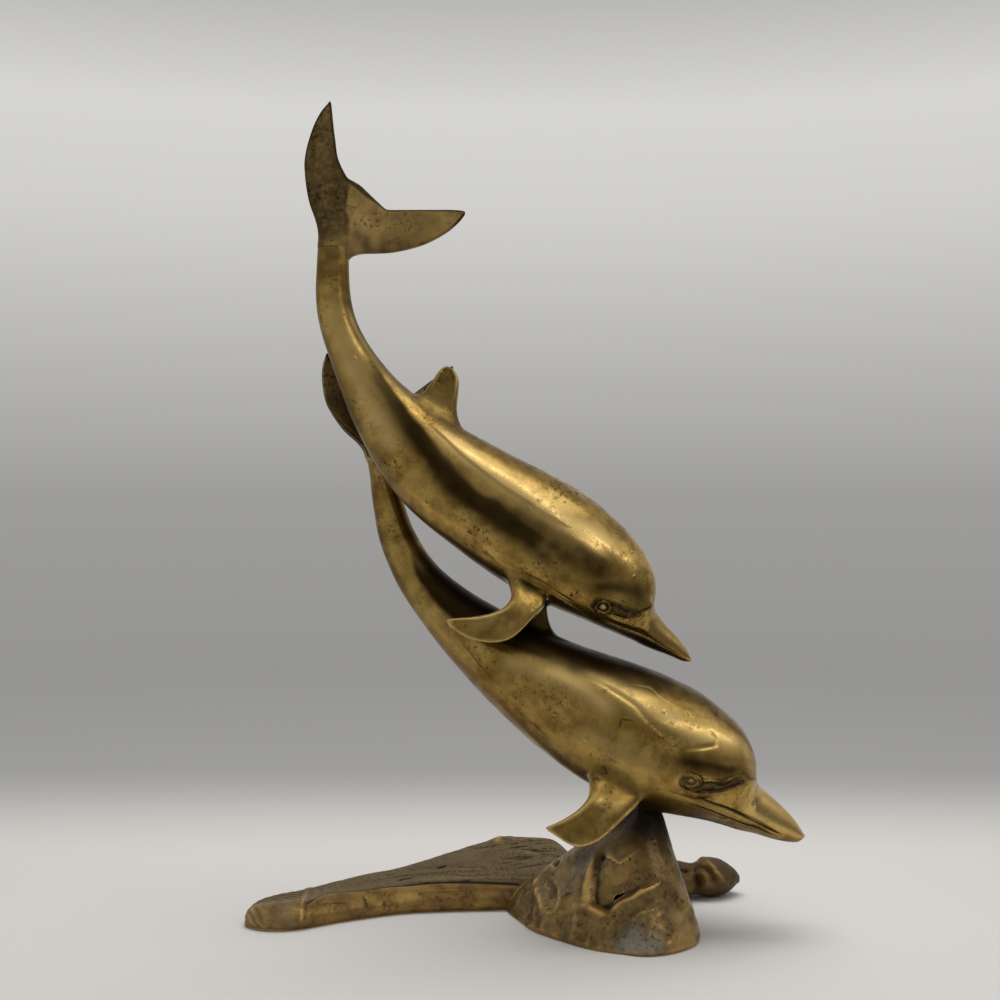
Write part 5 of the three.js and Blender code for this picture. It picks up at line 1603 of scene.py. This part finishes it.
# The lower dorsal fin, between the two bodies, is painted dark all over as shade
fin_piece("lower_dorsal", LOWER_DORSAL, [lower_hull, upper_hull], 8, 59, 0.3, 0.9)
for side, stations, seed in (("right", LOWER_PECTORAL, 62), ("left", lower_far_fin, 65)):
    fin_piece(f"lower_{side}_pectoral", stations, [lower_hull], 14, seed, 0.5, 0.2, fade=0.4)

# Flukes
for node, flukes, body, seed, cutters in (("upper_flukes", UPPER_FLUKES, upper_body, 70, [upper_hull]),
                                          ("lower_flukes", LOWER_FLUKES, lower_body, 74,
                                           [lower_hull, upper_hull])):
    casting = f"{node}_casting"
    show(casting, flukes_mesh(casting, flukes, body, seed, cutters), node, fluke_brass)

# Base
rock, rock_hull = rock_mesh([lower_hull, bolt_hole])
rock_height = mesh_points(rock)[:, 2]
# The rock is painted darker towards its top, under the lower dolphin
weather(rock, dark=1.1, bright=0.5, shade_and_grime=0.9 * smooth_step(rock_height, 46, 68))
show("rock_casting", rock, "base_rock", rough_brass, 60)
limb = limb_mesh([rock_hull])
weather(limb, dark=0.4, bright=0.5)
show("driftwood_limb_casting", limb, "base_driftwood_limb", limb_brass, 60)
branch = branch_mesh([rock_hull])
weather(branch, dark=0.6, bright=0.6, shade_and_grime=0.55)
show("broken_branch_casting", branch, "base_broken_branch", limb_brass, 60)


# A bolt's thread: the skin of a round bar sinks and rises along a helix
def thread_tree():
    tree = bpy.data.node_groups.new("thread_of_a_stud", "GeometryNodeTree")
    face = tree.interface
    inputs = {}
    for label in ("Radius", "Length", "Pitch", "Depth", "Base", "Steel"):
        kind = "NodeSocketMaterial" if label == "Steel" else "NodeSocketFloat"
        inputs[label] = face.new_socket(label, in_out="INPUT", socket_type=kind).identifier
    face.new_socket("Geometry", in_out="OUTPUT", socket_type="NodeSocketGeometry")
    given = add(tree, "NodeGroupInput").outputs
    windings = add(tree, MATH, {"operation": "DIVIDE"}, {0: given["Length"], 1: given["Pitch"]})
    rows = add(tree, MATH, {"operation": "MULTIPLY", 1: THREAD_ROWS}, {0: windings})
    rod = add(tree, "GeometryNodeMeshCylinder", {"fill_type": "TRIANGLE_FAN", "Vertices": THREAD_SIDES},
              {"Side Segments": rows, "Radius": given["Radius"], "Depth": given["Length"]})
    place = add(tree, "GeometryNodeInputPosition")
    parts = add(tree, "ShaderNodeSeparateXYZ", links={"Vector": place}).outputs
    angle = add(tree, MATH, {"operation": "ARCTAN2"}, {0: parts["Y"], 1: parts["X"]})
    turned = add(tree, MATH, {"operation": "DIVIDE", 1: 2 * math.pi}, {0: angle})
    climbed = add(tree, MATH, {"operation": "DIVIDE"}, {0: parts["Z"], 1: given["Pitch"]})
    phase = add(tree, MATH, {"operation": "SUBTRACT"}, {0: climbed, 1: turned})
    crest = add(tree, MATH, {"operation": "PINGPONG", 1: 0.5}, {0: phase})
    share = add(tree, MATH, {"operation": "MULTIPLY", 1: -2.0}, {0: crest})
    sink = add(tree, MATH, {"operation": "MULTIPLY"}, {0: share, 1: given["Depth"]})
    level = add(tree, "ShaderNodeCombineXYZ", {"Z": 0.0}, {"X": parts["X"], "Y": parts["Y"]})
    outward = add(tree, "ShaderNodeVectorMath", {"operation": "NORMALIZE"}, {0: level})
    moved = add(tree, "ShaderNodeVectorMath", {"operation": "SCALE"}, {0: outward, "Scale": sink})
    sunk = add(tree, MOVE, links={"Geometry": rod, "Offset": moved})
    lift = add(tree, "ShaderNodeCombineXYZ", links={"Z": given["Base"]})
    lifted = add(tree, MOVE, links={"Geometry": sunk, "Offset": lift})
    whole = add(tree, "GeometryNodeRealizeInstances", links={"Geometry": lifted})
    coloured = add(tree, "GeometryNodeSetMaterial", links={"Geometry": whole, "Material": given["Steel"]})
    add(tree, "NodeGroupOutput", links={"Geometry": coloured})
    return tree, inputs


def threaded_stud():
    low, high = stud_low.z / MM, stud_high.z / MM
    tree, inputs = thread_tree()
    blank = placed("stud_blank", bpy.data.meshes.new("stud_blank"))
    threader = blank.modifiers.new("thread", "NODES")
    threader.node_group = tree
    sizes = {"Radius": STUD_RADIUS, "Length": high - low, "Pitch": THREAD_PITCH, "Depth": THREAD_DEPTH,
             "Base": (high + low) / 2}
    for label, size in sizes.items():
        threader[inputs[label]] = size * MM
    threader[inputs["Steel"]] = zinc_steel
    mesh = finished(blank)
    set_points(mesh, mesh_points(mesh) + SHIFT / MM + np.array([*STUD_AT, 0.0]))
    return mesh


# Rings round the stud's axis, given as radius and height, closed into one solid
def turned_ring(name, profile):
    points = []
    for radius, z in profile:
        for t in turns(ROUND_SIDES):
            points.append((STUD_AT[0] + radius * math.cos(t), STUD_AT[1] + radius * math.sin(t), z))
    quads = grid_faces(len(profile) + 1, ROUND_SIDES, closed=True) % len(points)
    return closed_mesh(name, points, quads)


def node_span(node):
    low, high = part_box(node)
    return low.z / MM, high.z / MM, (high.x - low.x) / 2 / MM, (high.y - low.y) / 2 / MM


def chamfered_nut():
    low, high, reach_x, reach_y = node_span("mounting_nut")
    corner = max(reach_x, reach_y)
    start = 0.0 if reach_x >= reach_y else math.pi / 6
    body = bar("nut_body", corner, low, high, 6, start)
    across = corner * math.cos(math.pi / 6)
    drop = 1.1
    profile = [(0.01, low), (across * 0.97, low), (corner + 0.2, low + drop), (corner + 0.2, high - drop),
               (across * 0.97, high), (0.01, high)]
    hat = turned_ring("nut_hat", profile)
    return cut(combine(body, hat, "INTERSECT"), bar("nut_bore", STUD_RADIUS + 0.15, low - 1, high + 1))


def pressed_washer():
    low, high, reach, _ = node_span("mounting_washer")
    bore = STUD_RADIUS + 0.3
    soft = 0.3
    profile = [(bore + soft, low), (reach - soft, low), (reach, low + soft), (reach, high - soft),
               (reach - soft, high), (bore + soft, high), (bore, high - soft), (bore, low + soft)]
    return turned_ring("washer", profile)


# Fasteners, and the boss, which stays as the CAD has it
show("threaded_stud", threaded_stud(), "mounting_stud", zinc_steel, 25)
show("chamfered_nut", chamfered_nut(), "mounting_nut", zinc_steel, 25)
show("pressed_washer", pressed_washer(), "mounting_washer", zinc_steel, 25)
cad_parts["stud_boss"].data.materials.clear()
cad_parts["stud_boss"].data.materials.append(polished_brass)


# Floor: pale matt board that fades out at its rim, so that the backdrop shows behind it
def faded_board():
    material, tree = new_material("matt_white_board")
    place = add(tree, "ShaderNodeTexCoord").outputs["Object"]
    split = add(tree, "ShaderNodeSeparateXYZ", links={"Vector": place}).outputs
    side = add(tree, MATH, {"operation": "ABSOLUTE"}, {0: split["X"]})
    fade = None
    for source, start, end in ((side, 0.46, 0.58), (split["Y"], 0.14, 0.5), (split["Y"], -0.15, -0.21)):
        rim = add(tree, RANGE, {"interpolation_type": "SMOOTHSTEP", "From Min": start, "From Max": end},
                  {"Value": source})
        fade = rim if fade is None else add(tree, MATH, {"operation": "MAXIMUM"}, {0: rim, 1: fade})
    board = add(tree, "ShaderNodeBsdfDiffuse", {"Color": colour("#C6C3BF")})
    clear = add(tree, "ShaderNodeBsdfTransparent")
    both = add(tree, "ShaderNodeMixShader", links={0: fade, 1: board, 2: clear})
    add(tree, "ShaderNodeOutputMaterial", links={"Surface": both})
    return material


floor_mesh = bpy.data.meshes.new("floor")
board_corners = [(-0.6, -0.22, 0), (0.6, -0.22, 0), (0.6, 0.52, 0), (-0.6, 0.52, 0)]
floor_mesh.from_pydata(board_corners, [], [(0, 1, 2, 3)])
floor_mesh.materials.append(faded_board())
floor = placed("floor", floor_mesh)
floor.location = (0.0, 0.0, -0.0002)

# Studio: a grey backdrop to the camera. Polished metal shows a room with a bright window high on the
# right, a grey wall on the left and a dark corner in front, as ramps from straight down to straight up.
BACKDROP = [(0.36, "#ADACA9"), (0.41, "#9D9C9A"), (0.44, "#959493"), (0.5, "#9D9C9A"), (0.55, "#B7B6B3"),
            (0.6, "#CFCECB"), (0.635, "#D6D5D2"), (0.669, "#B9B8B5")]
WALL_LEFT = [(0.1, 0.38), (0.45, 0.44), (0.58, 0.36), (0.75, 0.3), (0.9, 0.4), (1.0, 0.55)]
WALL_FRONT = [(0.1, 0.24), (0.44, 0.3), (0.52, 0.38), (0.62, 0.3), (0.72, 0.3), (0.8, 0.38), (0.88, 0.6),
              (1.0, 0.95)]
WALL_RIGHT = [(0.1, 0.16), (0.5, 0.18), (0.6, 0.3), (0.68, 0.55), (0.76, 1.0), (0.82, 0.65), (0.88, 0.95),
              (0.93, 1.55), (0.97, 1.55), (1.0, 0.8)]
WALL_BEHIND = [(0.1, 0.42), (0.44, 0.4), (0.55, 0.6), (0.7, 0.52), (0.85, 0.36), (1.0, 0.5)]

world = bpy.data.worlds.new("studio")
bpy.context.scene.world = world
world.use_nodes = True
room = world.node_tree
room.nodes.clear()
direction = add(room, "ShaderNodeTexCoord").outputs["Generated"]
axes = add(room, "ShaderNodeSeparateXYZ", links={"Vector": direction}).outputs
rise = add(room, RANGE, {"From Min": -1.0, "From Max": 1.0}, {"Value": axes["Z"]})
ahead = add(room, MATH, {"operation": "MULTIPLY", 1: -1.0}, {0: axes["Y"]})
around = add(room, MATH, {"operation": "ARCTAN2"}, {0: axes["X"], 1: ahead})
aside = add(room, MATH, {"operation": "ABSOLUTE"}, {0: around})
off_front = add(room, MATH, {"operation": "SUBTRACT", 1: math.radians(3)}, {0: around})
from_front = add(room, MATH, {"operation": "ABSOLUTE"}, {0: off_front})
walls = add(room, RAMP, links={"Fac": rise}, stops=WALL_LEFT)
for stops, source, start, end in ((WALL_RIGHT, around, 18, 38), (WALL_BEHIND, aside, 88, 112),
                                  (WALL_FRONT, from_front, 34, 16)):
    bounds = {"From Min": math.radians(start), "From Max": math.radians(end)}
    share = add(room, RANGE, {"interpolation_type": "SMOOTHSTEP", **bounds}, {"Value": source})
    wall = add(room, RAMP, links={"Fac": rise}, stops=stops)
    joined = add(room, MIX, {"data_type": "RGBA"},
                 {"Factor_Float": share, "A_Color": walls, "B_Color": wall})
    walls = joined.outputs[MIXED_COLOUR]
backdrop = add(room, RAMP, links={"Fac": rise}, stops=BACKDROP)
ray = add(room, "ShaderNodeLightPath").outputs["Is Camera Ray"]
mixed = add(room, MIX, {"data_type": "RGBA"},
            {"Factor_Float": ray, "A_Color": walls, "B_Color": backdrop})
light_of_room = add(room, "ShaderNodeBackground", links={"Color": mixed.outputs[MIXED_COLOUR]})
add(room, "ShaderNodeOutputWorld", links={"Surface": light_of_room})


# Soft panels, none of them seen by the camera
def panel(name, centre, towards, width, height, radiance, glossy=True):
    lamp = bpy.data.lights.new(name, "AREA")
    lamp.shape = "RECTANGLE"
    lamp.size = width
    lamp.size_y = height
    lamp.energy = radiance * math.pi * width * height
    obj = placed(name, lamp)
    obj.location = centre
    obj.rotation_euler = (Vector(towards) - Vector(centre)).to_track_quat("-Z", "Y").to_euler()
    obj.visible_camera = False
    obj.visible_glossy = glossy


# A place at a distance from a start: degrees turned from the viewer's side to the right, then degrees up
def way(turn, climb, distance, start):
    a, e = math.radians(turn), math.radians(climb)
    direction = Vector((math.sin(a) * math.cos(e), -math.cos(a) * math.cos(e), math.sin(e)))
    return Vector(start) + distance * direction


# Place between the two heads, where the window's highlights are wanted
HEAD = (0.1, -0.03, 0.14)
panel("overhead", (0.0, 0.1, 1.15), (0.0, 0.0, 0.2), 0.95, 0.75, 4.5, glossy=False)
panel("window_sill", way(48, 30, 0.9, HEAD), HEAD, 0.85, 0.03, 4.0)
panel("window_post", way(26, 56, 0.9, HEAD), HEAD, 0.03, 0.5, 4.0)

# Camera
camera_data = bpy.data.cameras.new("camera")
camera_data.lens = 50
camera_data.sensor_width = 36
camera = placed("camera", camera_data)
camera.location = Vector(EYE * MM + SHIFT)
camera.rotation_euler = (math.radians(90), 0, 0)
bpy.context.scene.camera = camera
bpy.context.scene.view_settings.view_transform = "Standard"
